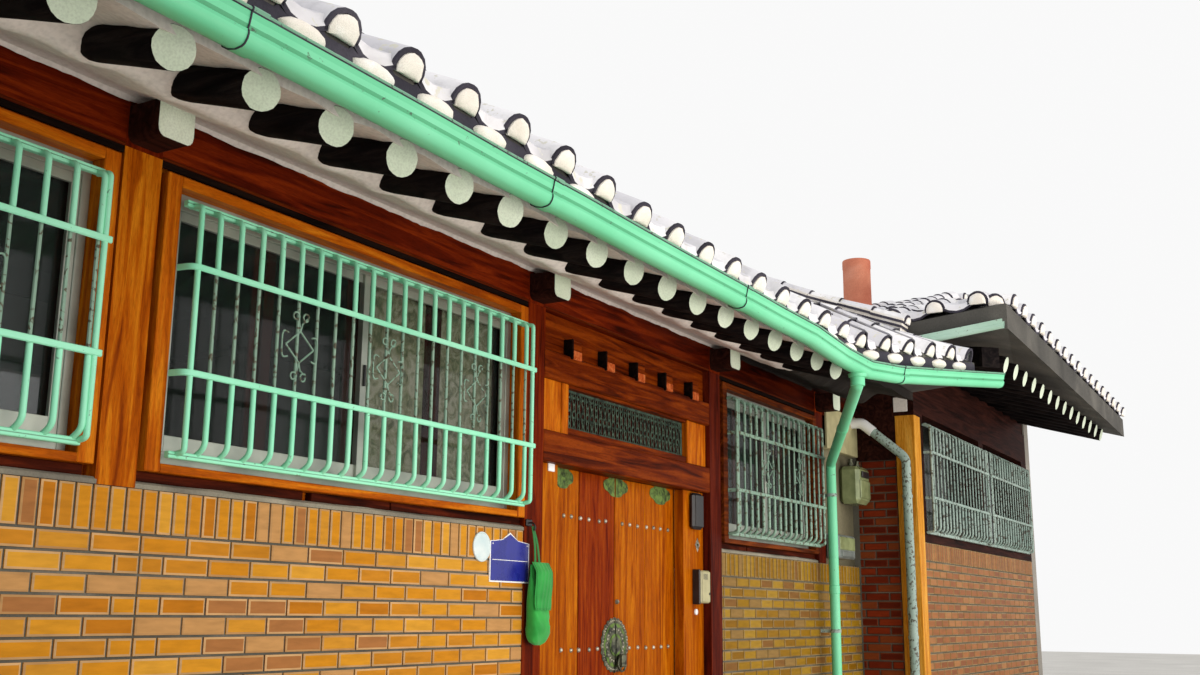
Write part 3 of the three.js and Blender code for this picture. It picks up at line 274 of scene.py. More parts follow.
class Finish:
    """One procedural material, built up from textures in object space."""

    def __init__(self, name, rough, metallic=0.0, specular=0.5, alpha=1.0):
        self.material = bpy.data.materials.new(name)
        self.material.use_nodes = True
        self.tree = self.material.node_tree
        self.shader = self.tree.nodes["Principled BSDF"]
        self.shader.inputs["Roughness"].default_value = rough
        self.shader.inputs["Metallic"].default_value = metallic
        self.shader.inputs["Specular IOR Level"].default_value = specular
        self.shader.inputs["Alpha"].default_value = alpha
        self.space = self.node("ShaderNodeTexCoord").outputs["Object"]

    def node(self, kind, **settings):
        made = self.tree.nodes.new(kind)
        for key, value in settings.items():
            setattr(made, key, value)
        return made

    def link(self, source, target):
        self.tree.links.new(source, target)

    def noise(self, scale, stretch=(1, 1, 1), detail=4.0, distortion=0.0):
        place = self.node("ShaderNodeMapping")
        place.inputs["Scale"].default_value = stretch
        self.link(self.space, place.inputs["Vector"])
        made = self.node("ShaderNodeTexNoise")
        made.inputs["Scale"].default_value = scale
        made.inputs["Detail"].default_value = detail
        made.inputs["Distortion"].default_value = distortion
        self.link(place.outputs["Vector"], made.inputs["Vector"])
        return made.outputs["Fac"]

    def tint(self):
        return self.node("ShaderNodeAttribute", attribute_name="tint").outputs["Fac"]

    def ramp(self, factor, stops, step=False):
        made = self.node("ShaderNodeValToRGB")
        made.color_ramp.interpolation = "CONSTANT" if step else "LINEAR"
        elements = made.color_ramp.elements
        while len(elements) < len(stops):
            elements.new(0.5)
        for element, (position, colour) in zip(elements, stops):
            element.position = position
            element.color = rgb(colour) if isinstance(colour, str) else (colour, colour, colour, 1)
        self.link(factor, made.inputs["Fac"])
        return made.outputs["Color"]

    def mix(self, factor, first, second, mode="MIX"):
        made = self.node("ShaderNodeMix", data_type="RGBA", blend_type=mode)
        for source, socket in ((factor, made.inputs[0]), (first, made.inputs[6]), (second, made.inputs[7])):
            if isinstance(source, (int, float)):
                socket.default_value = source
            elif isinstance(source, str):
                socket.default_value = rgb(source)
            else:
                self.link(source, socket)
        return made.outputs[2]

    def colour(self, source):
        self.link(source, self.shader.inputs["Base Color"])
        return self

    def fade(self, start, stop, least):
        """From 1 at start to least at stop, places along X in the drawing frame."""
        place = self.node("ShaderNodeSeparateXYZ")
        self.link(self.space, place.inputs["Vector"])
        made = self.node("ShaderNodeMapRange")
        made.inputs["From Min"].default_value = start + ORIGIN.x
        made.inputs["From Max"].default_value = stop + ORIGIN.x
        made.inputs["To Min"].default_value = 1.0
        made.inputs["To Max"].default_value = least
        self.link(place.outputs["X"], made.inputs["Value"])
        return made.outputs["Result"]

    def roughness(self, factor, low, high):
        made = self.node("ShaderNodeMapRange")
        made.inputs["To Min"].default_value = low
        made.inputs["To Max"].default_value = high
        self.link(factor, made.inputs["Value"])
        self.link(made.outputs["Result"], self.shader.inputs["Roughness"])
        return self

    def bump(self, height, distance, strength=1.0):
        made = self.node("ShaderNodeBump")
        made.inputs["Distance"].default_value = distance
        made.inputs["Strength"].default_value = strength
        self.link(height, made.inputs["Height"])
        earlier = self.shader.inputs["Normal"].links
        if earlier:
            self.link(earlier[0].from_socket, made.inputs["Normal"])
        self.link(made.outputs["Normal"], self.shader.inputs["Normal"])
        return self


def varnished(name, dark, middle, light, grain, rough=0.42, painted_shade=None):
    """Varnished timber whose grain runs along the axis that grain stretches least. painted_shade gives the X
    at which it starts and stops to darken, and what is then left of its colour: this darkening is painted
    shade."""
    wood = Finish(name, rough=rough, specular=0.02)
    figure = wood.noise(1.6, grain, detail=6, distortion=1.4)
    fibre = wood.noise(7.0, tuple(4 * g for g in grain), detail=3)
    base = wood.ramp(figure, [(0.30, dark), (0.48, middle), (0.68, light)])
    lines = wood.ramp(fibre, [(0.35, 0.45), (0.55, 1.0)])
    # Painted shade: the colour darkens along X between the two places given.
    if painted_shade:
        base = wood.mix(1.0, base, wood.fade(*painted_shade), "MULTIPLY")
    wood.colour(wood.mix(0.55, base, lines, "MULTIPLY"))
    wood.roughness(fibre, rough - 0.1, rough + 0.12)
    return wood.bump(fibre, 0.0012, 0.5).material


def painted(name, fresh, worn, rust, rusting, rough=0.42):
    """Gloss paint on sheet metal, chalky in places and rusting at specks. The higher rusting is, the fewer
    specks there are."""
    paint = Finish(name, rough=rough, specular=0.45)
    broad = paint.noise(2.2, detail=5)
    specks = paint.noise(38, detail=6, distortion=0.8)
    base = paint.ramp(broad, [(0.3, fresh), (0.75, worn)])
    spots = paint.ramp(specks, [(rusting, 0.0), (rusting + 0.05, 1.0)])
    paint.colour(paint.mix(spots, base, rust))
    paint.roughness(broad, rough - 0.08, rough + 0.15)
    return paint.bump(specks, 0.0008, 0.4).material


def rendered(name, colours, scale, depth, rough=0.9):
    """Plaster, cement or stone: broad stains and a fine grain."""
    wall = Finish(name, rough=rough, specular=0.2)
    broad = wall.noise(scale * 0.3, detail=6, distortion=0.5)
    grain = wall.noise(scale * 14, detail=5)
    base = wall.ramp(broad, [(0.3, colours[0]), (0.55, colours[1]), (0.75, colours[2])])
    lines = wall.ramp(grain, [(0.3, 0.72), (0.6, 1.0)])
    wall.colour(wall.mix(0.6, base, lines, "MULTIPLY"))
    return wall.bump(grain, depth, 0.6).material


def glazed_brick(name, colours):
    """Glazed brick: a colour for each brick, streaks in the glaze, and worn patches."""
    brick = Finish(name, rough=0.3, specular=0.03)
    count = len(colours)
    base = brick.ramp(brick.tint(), [(i / count, c) for i, c in enumerate(colours)], step=True)
    streak = brick.ramp(brick.noise(9, (1, 1, 5), detail=5), [(0.3, 0.72), (0.62, 1.0)])
    speck = brick.noise(120, detail=3)
    brick.colour(brick.mix(0.7, base, streak, "MULTIPLY"))
    brick.roughness(speck, 0.22, 0.5)
    return brick.bump(speck, 0.0007, 0.5).material


def roof_tile():
    """Grey clay tile with a shade for each tile, stains and spots of lichen."""
    tile = Finish("roof_tile", rough=0.85, specular=0.25)
    shade = tile.ramp(tile.tint(), [(0.0, "d3d2d8"), (0.35, "e2e1e6"), (0.7, "eeedf1"), (1.0, "f6f5f7")])
    stain = tile.ramp(tile.noise(5, detail=6, distortion=0.6), [(0.32, 0.55), (0.5, 0.93), (0.7, 1.0)])
    lichen = tile.ramp(tile.noise(26, detail=5), [(0.60, 0.0), (0.66, 1.0)])
    base = tile.mix(0.6, shade, stain, "MULTIPLY")
    tile.colour(tile.mix(lichen, base, "d2d0c4"))
    return tile.bump(tile.noise(70, detail=5), 0.003, 0.6).material


def window_glass(name, colour):
    pane = Finish(name, rough=0.06, specular=0.5, alpha=0.34)
    pane.colour(pane.ramp(pane.noise(0.9, detail=2), [(0.3, colour), (0.8, "39423f")]))
    return pane.bump(pane.noise(1.6, detail=1), 0.004, 0.3).material


def frosted_glass():
    """Opaque glass pressed with a leafy figure."""
    pane = Finish("frosted_glass", rough=0.35, specular=0.6)
    flowers = pane.noise(16, detail=4, distortion=1.6)
    pane.colour(pane.ramp(flowers, [(0.34, "8a9673"), (0.48, "c3c99f"), (0.62, "eef0d4")]))
    return pane.bump(flowers, 0.004, 0.7).material


def patina(name, dark, light, rough):
    """Cast metal with patches of its first colour and a duller one."""
    metal = Finish(name, rough=rough, metallic=0.65)
    broad = metal.noise(30, detail=6, distortion=0.7)
    metal.colour(metal.ramp(broad, [(0.35, dark), (0.62, light)]))
    metal.roughness(broad, rough - 0.12, rough + 0.2)
    return metal.bump(broad, 0.0015, 0.6).material


def woven(name, dark, light):
    """Coarse cloth with a woven bump and soft folds."""
    cloth = Finish(name, rough=0.8, specular=0.25)
    cloth.shader.inputs["Sheen Weight"].default_value = 0.25
    broad = cloth.noise(8, detail=5)
    weave = cloth.noise(900, (1, 1, 0.35), detail=1)
    cloth.colour(cloth.ramp(broad, [(0.3, dark), (0.7, light)]))
    return cloth.bump(weave, 0.0006, 0.6).bump(broad, 0.006, 0.5).material


def plastic(name, dark, light, rough):
    """Plastic or enamel with faint broad stains."""
    shell = Finish(name, rough=rough, specular=0.5)
    broad = shell.noise(14, detail=5)
    shell.colour(shell.ramp(broad, [(0.3, dark), (0.7, light)]))
    return shell.roughness(broad, rough - 0.08, rough + 0.15).bump(shell.noise(240), 0.0003, 0.3).material


ALONG_X = (1, 14, 14)
ALONG_Z = (14, 14, 1)
ALONG_Y = (14, 1, 14)

OCHRES = ["b9791f", "c98a24", "c4821c", "b46f18", "cd9330", "be7d22", "a06a3c", "c3872a", "b98a55", "c17e1b"]
ochre_brick = glazed_brick("ochre_brick", OCHRES)
ochre_edge = glazed_brick("ochre_edge", ["b99468", "c9a070", "b58a5a"])
# Olive tones for the ochre bricks at the right end, and for their edges: painted shade over that end of the
# house.
OLIVES = ["8a6414", "96721c", "8e6a18", "805a12", "9a7826", "8c6818", "7a5428", "927020", "886a3a", "8c6812"]
olive_brick = glazed_brick("olive_brick", OLIVES)
olive_edge = glazed_brick("olive_edge", ["86704c", "927a50", "80663e"])
brown_brick = glazed_brick("brown_brick", ["8a5226", "965e2e", "804a22", "9c6838", "8e5628"])
red_brick = glazed_brick("red_brick", ["6a2412", "7d2d15", "5a1e10", "7a3a1c"])
red_edge = glazed_brick("red_edge", ["5a2a1c", "6e3823"])
mortar = rendered("mortar", ("4b4941", "5f5c52", "777267"), 12, 0.003)
cement = rendered("cement", ("6f6a60", "8b8576", "a29a89"), 8, 0.004)
# Nearly black plaster: painted shade under the lifted corner of the eave.
shaded_plaster = rendered("shaded_plaster", ("14100e", "1e1916", "2c2520"), 6, 0.003)
bay_plaster = rendered("bay_plaster", ("4e4a3a", "6a6550", "88826a"), 5, 0.004)
white_plaster = rendered("white_plaster", ("cfc7c2", "e0d9d4", "ece7e2"), 4, 0.003)
cream_plaster = rendered("cream_plaster", ("ece4d9", "faf4eb", "ffffff"), 22, 0.006)
grey_render = rendered("grey_render", ("7e7a73", "97928a", "aaa59c"), 4, 0.004)
floor_stone = rendered("floor_stone", ("6b6963", "85827b", "98948c"), 5, 0.003)
# The top beam and its rounded edge darken from X 6 to 8 as painted shade over the right end of the house.
beam_wood = varnished("beam_wood", "2c0902", "581604", "7c2a08", ALONG_X, painted_shade=(6.0, 8.0, 0.30))
post_wood = varnished("post_wood", "7a3002", "a85004", "cc7814", ALONG_Z)
corner_wood = varnished("corner_wood", "b06a14", "cc8a2c", "e2a848", ALONG_Z)
post_red = varnished("post_red", "380d03", "621a03", "7e2c05", ALONG_Z)
beam_edge = varnished("beam_edge", "5a1a06", "8c3408", "a8480e", ALONG_X, painted_shade=(6.0, 8.0, 0.30))
# Near-black timber: painted shadow.
painted_shadow_wood = varnished("painted_shadow_wood", "0c0706", "160d0a", "20140f", ALONG_X, rough=0.7)
post_dark = varnished("post_dark", "2a0d08", "4a150c", "642210", ALONG_Z)
casing_wood = varnished("casing_wood", "8a3c08", "b3580a", "cc7616", ALONG_X, rough=0.36)
casing_upright = varnished("casing_upright", "8a3c08", "b3580a", "cc7616", ALONG_Z, rough=0.36)
# Dark casing timber: painted shade.
casing_shaded = varnished("casing_shaded", "2e1006", "54220a", "78380f", ALONG_X)
plank_red = varnished("plank_red", "5a1402", "7e2a02", "984206", ALONG_Z, rough=0.4)
plank_wood = varnished("plank_wood", "7e3402", "a04e02", "ba6a0a", ALONG_Z, rough=0.4)
gate_wood = varnished("gate_wood", "2e0c02", "602003", "843808", ALONG_X, rough=0.38)
# Lighter orange for the tenons' lower fronts: painted light.
lit_tenon_wood = varnished("lit_tenon_wood", "8a3a18", "b05024", "c87040", ALONG_Y, rough=0.45)
frame_wood = varnished("frame_wood", "4a1506", "7d2c0a", "9c4413", ALONG_X)
sill_wood = varnished("sill_wood", "1d0a06", "3c140a", "5a210e", ALONG_X, rough=0.6)
dark_wood = varnished("dark_wood", "170b08", "2a1410", "3c1f18", ALONG_X, rough=0.6)
rafter_wood = varnished("rafter_wood", "0d0b0c", "181415", "26201f", ALONG_Y, rough=0.6)
end_paint = rendered("end_paint", ("c6d4be", "d6e2ce", "e4eedd"), 10, 0.001, rough=0.7)
roof_bed = rendered("roof_bed", ("3d3c3a", "55534f", "6f6c66"), 6, 0.004)
tile_grey = roof_tile()
tile_edge = rendered("tile_edge", ("2c2a33", "3e3b46", "55525c"), 8, 0.003)
ROOFING = [tile_grey, cream_plaster, tile_edge]
mint = painted("mint_paint", "62c896", "7ad3a8", "4d6a50", rusting=0.70)
bar_mint = painted("bar_mint", "86e0b8", "a2ecca", "6d8a72", rusting=0.68)
# Darker copies of the mint paint: painted shade on the gutter's upper face and in its crease.
mint_shaded = painted("mint_shaded", "58bd8c", "6ccb9c", "46604a", rusting=0.68)
mint_crease = painted("mint_crease", "3f9a6c", "4ea97b", "3c5644", rusting=0.64)
mint_lip = painted("mint_lip", "5a8f74", "74a88c", "3c4a3c", rusting=0.60)
mint_dull = painted("mint_dull", "6f8f7e", "89a996", "4f4a38", rusting=0.55)
grey_mint = painted("grey_mint", "7a938a", "9fb2aa", "4c4a40", rough=0.55, rusting=0.55)
pale_paint = painted("pale_paint", "9fc4b1", "b7d3c4", "6b6a58", rusting=0.66)
white_paint = painted("white_paint", "e6e8ea", "f2f3f3", "8a8a80", rusting=0.68)
aluminium = Finish("aluminium", rough=0.38, metallic=0.7)
aluminium.colour(aluminium.ramp(aluminium.noise(5, detail=4), [(0.3, "8f958d"), (0.7, "b9bdb2")]))
aluminium = aluminium.bump(aluminium.noise(60, ALONG_X), 0.0004, 0.3).material
pane_glass = window_glass("pane_glass", "0c100f")
figured_glass = frosted_glass()
patina_green = patina("patina_green", "2f3d1f", "6f8a45", 0.6)
patina_iron = patina("patina_iron", "22241c", "6a6c58", 0.45)
patina_lattice = patina("patina_lattice", "1f2a22", "4c6152", 0.55)
stud_metal = patina("stud_metal", "6d6a5c", "c6c0ae", 0.35)
terracotta = rendered("terracotta", ("b8644c", "d08468", "e2a890"), 9, 0.003, rough=0.8)
bag_cloth = woven("bag_cloth", "1f8a35", "36ad4a")
bag_flap = woven("bag_flap", "1b7f31", "2fa045")
bag_dark = woven("bag_dark", "15642a", "1f7a35")
blue_enamel = plastic("blue_enamel", "171c78", "20278c", 0.25)
white_enamel = plastic("white_enamel", "dfe0e2", "efefef", 0.3)
pale_blue = plastic("pale_blue", "b9cfd3", "d5e0e0", 0.35)
beige_plastic = plastic("beige_plastic", "9c9670", "b6b086", 0.4)
black_plastic = plastic("black_plastic", "131213", "232124", 0.4)
meter_glass = plastic("meter_glass", "6f7a55", "8d976c", 0.15)
meter_grey = plastic("meter_grey", "59605d", "747c78", 0.4)


def dress(material, *nodes, bevel=0.0):
    """Gives CAD nodes their finish, and softens their edges where bevel is set."""
    for name in nodes:
        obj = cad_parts[name]
        obj.data.materials.clear()
        obj.data.materials.append(material)
        if bevel:
            edge = obj.modifiers.new("edge", "BEVEL")
            edge.width = bevel
            edge.segments = 2
            edge.limit_method = "ANGLE"


# Brickwork

def brick_face(shape, x0, x1, z0, z1, place, tint):
    """One brick, its worn arris a second material. place turns along, out and up into a point."""
    arris, bevel, root = 0.007, 0.003, 0.014

    def ring(inset, out):
        a, b, c, d = x0 + inset, x1 - inset, z0 + inset, z1 - inset
        return [place(x, out, z) for x, z in ((a, c), (b, c), (b, d), (a, d))]

    front, rim, foot = ring(arris, 0), ring(0, bevel), ring(0, root)
    shape.face(front, 0, tint)
    shape.weave([rim, front], 1, tint, ring=True, soft=False)
    shape.weave([foot, rim], 0, tint, ring=True, soft=False)


# The soldier course's height, the mortar's depth behind the faces, the bricks' gap to the wall's edges, and
# the narrowest brick that is still laid
SOLDIER = 0.150
MORTAR_DEPTH = 0.008
WALL_EDGE = 0.002
NARROWEST = 0.03


def brick_wall(node, materials, joints=()):
    """Running bond under a soldier course on a wall's street face, cut at the expansion joints."""
    shape = Shape()
    low, high = span(node)
    start, end = low.x + WALL_EDGE, high.x - WALL_EDGE
    soldier_low = high.z - SOLDIER

    def place(along, out, up):
        return Vector((along, low.y + out, up))

    courses = round(soldier_low / BRICK.z)
    anchor = joints[0] if joints else start
    cuts = sorted([start - JOINT / 2, *joints, end + JOINT / 2])
    for course in range(courses):
        z0 = course * soldier_low / courses + JOINT / 2
        z1 = (course + 1) * soldier_low / courses - JOINT / 2
        offset = anchor + (BRICK.x / 2 if course % 2 else 0)
        first = math.floor((start - offset) / BRICK.x)
        last = math.ceil((end - offset) / BRICK.x)
        for i in range(first, last):
            left, right = offset + i * BRICK.x, offset + (i + 1) * BRICK.x
            tint = chance.random()
            edges = [left, *[c for c in cuts if left < c < right], right]
            for a, b in zip(edges, edges[1:]):
                if a >= start - JOINT and b <= end + JOINT and b - a > NARROWEST:
                    brick_face(shape, a + JOINT / 2, b - JOINT / 2, z0, z1, place, tint)
    count = round((end - start) / BRICK.z)
    width = (end - start) / count
    for i in range(count):
        x = start + i * width
        brick_face(shape, x + JOINT / 2, x + width - JOINT / 2, soldier_low + JOINT / 2, high.z - WALL_EDGE,
                   place, chance.random())
    shape.block((low.x, low.y + MORTAR_DEPTH, low.z), high, kind=2)
    shape.piece(f"{node}_bricks", materials, replaces=[node])


def make_brickwork():
    brick_wall("dado_left", [ochre_brick, ochre_edge, mortar], [2.940])
    brick_wall("dado_right", [olive_brick, olive_edge, mortar], [7.550])
    brick_wall("wing_dado", [brown_brick, olive_edge, mortar])


# Eaves: logs, plaster and tiles

def rafter_axis(y):
    return RAFTER_END.z + SLOPE * (y - RAFTER_END.y)


def flare(x):
    """How far along the lifted corner of the range a place is, from 0 to 1."""
    return min(1.0, max(0.0, (x - FLARE_START) / (WING_EAVE.x - FLARE_START)))


def range_eave(x):
    return EAVE_Y - FLARE_OUT * flare(x)


def on_street(y):
    return y


def on_yard(y):
    """The same place on the yard side of the range."""
    return DEPTH - y


def between(stations, x):
    """Value at x on the line through (x, value) stations."""
    if x <= stations[0][0]:
        return stations[0][1]
    for (x0, v0), (x1, v1) in zip(stations, stations[1:]):
        if x <= x1:
            return v0 + (v1 - v0) * (x - x0) / (x1 - x0)
    return stations[-1][1]


def range_top(x, y):
    """Height of the street slope's bed of tiles. Its lifted corner is folded along a line from the wall out
    to the eave's tip."""
    wall = EAVE_TOP - SLOPE * EAVE_Y
    if y >= 0:
        return wall + SLOPE * y
    if x <= FLARE_START:
        return wall + (y / EAVE_Y) * (EAVE_TOP + between(EAVE_LINE, x) - wall)
    start, tip = (EAVE_TOP + between(EAVE_LINE, place) for place in (FLARE_START, WING_EAVE.x))
    steep = (wall - start) / -EAVE_Y
    rise = tip - start + steep * FLARE_OUT
    near_start = start + rise * flare(x) + steep * (y - EAVE_Y)
    near_tip = wall + (wall - tip) / (FLARE_OUT - EAVE_Y) * y
    return min(near_start, near_tip)


def log_axis(y):
    return RAFTER_END.z + EAVE_LOG_SLOPE * (y - RAFTER_END.y)


# Girths of a log as (place along it, share of its radius) pairs
WHOLE_LOG = ((0, 0.985), (0.003, 1.0), (0.25, 0.99), (0.5, 1.0), (0.75, 0.985), (1, 0.97))
ROOTED_LOG = ((0, 0.985), (0.004, 1.0), (0.4, 0.99), (0.80, 1.0), (0.89, 0.95), (0.95, 0.84), (0.985, 0.68),
              (1, 0.5))
EAVE_LOG_RADIUS = 0.067
EAVE_LOG_TURN = math.tan(math.radians(12))


def log(shape, foot, top, radius=RAFTER_RADIUS, girths=WHOLE_LOG, turned=0.0):
    """A debarked log with a slightly uneven girth, and its sawn end painted. turned is how far the saw
    strayed across the log from square."""
    foot, top = Vector(foot), Vector(top)
    along = (top - foot).normalized()
    side = along.cross(Vector((0, 0, 1))).normalized()
    up = side.cross(along)
    wobble = [chance.uniform(0.955, 1.0) for _ in range(20)]
    rows = []
    for place, shrink in girths:
        centre = foot + (top - foot) * place
        stray = along * turned * max(0.0, 1 - place / 0.25) * radius * side.x
        rows.append([centre + radius * shrink * girth * (side * math.cos(t) + up * math.sin(t))
                     - stray * math.cos(t) for t, girth in zip(turns(20), wobble)])
    shape.weave(rows, 0, ring=True)
    shape.face(rows[-1], 0)
    disc = [[foot - along * 0.0015 * (1 - k) + (p - foot) * k for p in rows[0]] for k in (1, 0.6, 0.2)]
    shape.weave(disc, 1, ring=True)
    shape.face(disc[-1], 1)


def make_range_logs(name, node, turn, last):
    """Flat-lying eave logs as far as last, and the rafters behind them up to the ridge."""
    shape = Shape()
    left = span(node)[0].x
    x = RAFTER_FIRST
    while x < WING_EAVE.x - RAFTER_RADIUS:
        if x < last:
            root = (x, turn(EAVE_LOG_ROOT_Y), log_axis(EAVE_LOG_ROOT_Y))
            log(shape, (x, turn(RAFTER_END.y), RAFTER_END.z), root, EAVE_LOG_RADIUS, girths=ROOTED_LOG,
                turned=EAVE_LOG_TURN)
        y = RIDGE_Y - 0.045
        log(shape, (x, turn(RAFTER_FOOT_Y), rafter_axis(RAFTER_FOOT_Y)), (x, turn(y), rafter_axis(y)))
        x += RAFTER_PITCH
    purlin = sorted((turn(0.015), turn(POST + 0.005)))
    purlin_top = rafter_axis(POST / 2) - RAFTER_RADIUS * math.hypot(1, SLOPE) + 0.025
    shape.block((left, purlin[0], BEAM_HIGH), (WING_LEFT - SEAT, purlin[1], purlin_top), kind=2, edge=0.004)
    shape.piece(name, [rafter_wood, end_paint, dark_wood], replaces=[node])


# From the wing's eave line down through the roof's bed, and on to the rafters' axis
WING_BED = 0.185
WING_RAFTER_DROP = WING_BED + WING_RAFTER_RADIUS * math.hypot(1, WING_SLOPE)


def make_wing_logs(name, node, turn, last):
    """Common, jack and hip rafters of one end of the wing."""
    shape = Shape()
    reach = 0.170
    wall = WING_GABLE_Y - WING_EAVE.y

    def axis(run):
        return WING_EAVE.z + WING_SLOPE * run - WING_RAFTER_DROP

    def place(x, y, z):
        return Vector((x, turn(y), z))

    x = WING_EAVE.x + 2 * RAFTER_PITCH
    while x < WING_RIGHT - 0.200:
        run = min(wall, x - WING_EAVE.x)
        log(shape, place(x, WING_EAVE.y + reach, axis(reach)), place(x, WING_EAVE.y + run, axis(run)),
            WING_RAFTER_RADIUS)
        x += RAFTER_PITCH
    y = WING_EAVE.y + 2 * RAFTER_PITCH
    while y < last:
        run = y - WING_EAVE.y
        log(shape, place(WING_EAVE.x + reach, y, axis(reach)), place(WING_EAVE.x + run, y, axis(run)),
            WING_RAFTER_RADIUS)
        y += RAFTER_PITCH
    half, deep = 0.050, 0.150
    rows = []
    for run in (reach, wall + 0.050):
        crown = axis(run) + WING_RAFTER_RADIUS * math.hypot(1, WING_SLOPE) - 0.020
        rows.append([place(WING_EAVE.x + run + s * half, WING_EAVE.y + run - s * half, crown - d)
                     for s, d in ((-1, 0), (1, 0), (1, deep), (-1, deep))])
    shape.loft(rows, 0, soft=False)
    wall_run = WING_FRONT + POST / 2 - WING_EAVE.y
    plate_high = WING_EAVE.z + WING_SLOPE * wall_run - 2 * WING_RAFTER_DROP + WING_BED
    sides = sorted((turn(WING_FRONT + 0.015), turn(WING_FRONT + POST - 0.015)))
    shape.block((WING_LEFT, sides[0], plate_high - 0.130), (14.400 - SEAT, sides[1], plate_high + 0.006),
                kind=2, edge=0.004)
    shape.piece(name, [rafter_wood, end_paint, dark_wood], replaces=[node])


def uneven(x, y):
    """Small hand-worked unevenness of plaster, in metres."""
    return (0.004 * math.sin(9.1 * x + 3 * y) + 0.003 * math.sin(23.7 * x - 5 * y)
            + 0.002 * math.sin(41 * y + 7 * x))


# The plaster's underside as (Y, height) stations
SOFFIT_LINE = [(-0.790, 2.955), (-0.520, 3.036), (-0.400, 2.962), (-0.045, BEAM_HIGH), (0.000, BEAM_HIGH)]


def soffit_low(x, y):
    """Height of the plaster's underside: rounded bends, and a mouth that swells round each log's root."""
    line = sum(between(SOFFIT_LINE, y + d) for d in (-0.024, -0.012, 0, 0.012, 0.024)) / 5
    bay = ((x - RAFTER_FIRST) / RAFTER_PITCH) % 1
    beside = min(bay, 1 - bay) * RAFTER_PITCH - EAVE_LOG_RADIUS
    mouth = 0.012 * math.exp(-(beside / 0.030) ** 2 - ((y + 0.440) / 0.045) ** 2)
    hollow = 0.010 * math.sin(math.pi * bay)
    return line - mouth + (hollow + uneven(x, y)) * min(1, -4 * y)


def make_soffit(name, node, turn, shade_from):
    """Plaster between the logs and down to a ragged edge on the top beam, hollowed a little in each bay. From
    shade_from on, nearly black plaster stands for painted shade.
    """
    shape = Shape()
    low, high = span(node)
    ys = [*steps(-0.790, -0.540, 5), *steps(-0.520, -0.360, 9), *steps(-0.320, -0.045, 6), -0.012]
    crown = RAFTER_RADIUS * math.hypot(1, EAVE_LOG_SLOPE) + 0.0195
    for start, stop, kind in ((low.x, shade_from, 0), (shade_from, high.x, 1)):
        if stop <= start:
            continue
        under, top = [], []
        for x in steps(start, stop, round((stop - start) / 0.028)):
            row = [Vector((x, turn(y), soffit_low(x, y))) for y in ys]
            ragged = 0.010 + 0.004 * math.sin(17 * x) * math.sin(5.3 * x) + chance.uniform(0, 0.004)
            row.append(Vector((x, turn(-0.005), BEAM_HIGH - ragged)))
            row.append(Vector((x, turn(-SEAT), BEAM_HIGH - ragged - 0.002)))
            under.append(row)
            top.append([Vector((x, p.y, log_axis(turn(p.y)) + crown)) for p in row])
        shell(shape, top, under, kind)
    shape.piece(name, [white_plaster, shaded_plaster], replaces=[node])


def shell(shape, top, under, kind):
    """A closed plate between two grids of points of one size."""
    for grid in (top, under):
        shape.weave(grid, kind)
    for edge in (0, -1):
        shape.weave([top[edge], under[edge]], kind, soft=False)
        shape.weave([[row[edge] for row in top], [row[edge] for row in under]], kind, soft=False)


# Number of the dark material of tile edges
RIM = 2


# How far a tile strays from its place, and the angles round a cover tile's arc
STRAY = 0.004
COVER_ARC = [math.radians(a) for a in (-14, 8, 30, 52, 75, 90, 105, 128, 150, 172, 194)]

# Height of the channel tiles over the bed, and how much they bend, at the eave and above it
PAN_LIFT = 0.026
PAN_BEND = 0.16
EAVE_BEND = 0.26


def tile_seats(path, side):
    """Low end, high end, run and upward direction of each tile along a path."""
    total = sum((b - a).length for a, b in zip(path, path[1:]))
    count = max(1, round(total / TILE_LENGTH))
    places = [along_path(path, total * i / count) for i in range(count + 1)]
    for low, high in zip(places, places[1:]):
        along = (high - low).normalized()
        up = side.cross(along)
        yield low, high, along, -up if up.z < 0 else up


def tile_course(shape, path, side, radius=TILE_RADIUS, plug=True, lift=TILE_LIFT):
    """Round cover tiles up a slope: each overlaps the next, and the lowest is stopped with plaster."""
    side = Vector(side)
    for i, (low, high, along, up) in enumerate(tile_seats(path, side)):
        shift = side * chance.uniform(-STRAY, STRAY) + up * (lift + chance.uniform(-STRAY, STRAY) * 0.6)
        tint = chance.random()
        low, high = low + shift, high + shift + along * 0.02
        rings = []
        for centre, size in ((low + along * 0.016, radius - 0.016), (low, radius - 0.015), (low, radius),
                             (low + along * 0.012, radius + 0.001), (high, radius - 0.009)):
            rings.append([centre + size * (side * math.cos(a) + up * math.sin(a)) for a in COVER_ARC])
        shape.weave(rings[:4], RIM, tint)
        shape.weave(rings[3:], 0, tint)
        if i == 0 and plug:
            stop_end(shape, low + along * 0.006, side, up, along, radius - 0.014)


def lump(shape, profile, count, least, most, place):
    """A hand-pressed lump of plaster through rings of (reach, bulge). place turns an angle, a reach and a
    bulge into a point."""
    rough = [chance.uniform(least, most) for _ in range(count)]
    rings = [[place(t, reach * girth, bulge) for t, girth in zip(turns(count), rough)]
             for reach, bulge in profile]
    shape.weave(rings, 1, chance.random(), ring=True)
    shape.face(rings[-1], 1)


STOP_PROFILE = ((1.0, 0.0), (0.99, 0.011), (0.86, 0.019), (0.58, 0.023), (0.3, 0.024), (0.08, 0.025))
EAVE_LUMP_PROFILE = ((1.0, 0.0), (0.97, 0.012), (0.84, 0.022), (0.58, 0.029), (0.3, 0.032), (0.08, 0.033))


def stop_end(shape, centre, side, up, along, radius):
    """The lump of plaster that stops the lowest cover tile."""
    def place(t, reach, bulge):
        return centre + radius * reach * (side * math.cos(t) + up * max(math.sin(t), -0.34)) - along * bulge

    lump(shape, STOP_PROFILE, 18, 0.93, 1.03, place)


def along_path(path, distance):
    for a, b in zip(path, path[1:]):
        length = (b - a).length
        if distance <= length:
            return a + (b - a) * (distance / length)
        distance -= length
    return path[-1].copy()


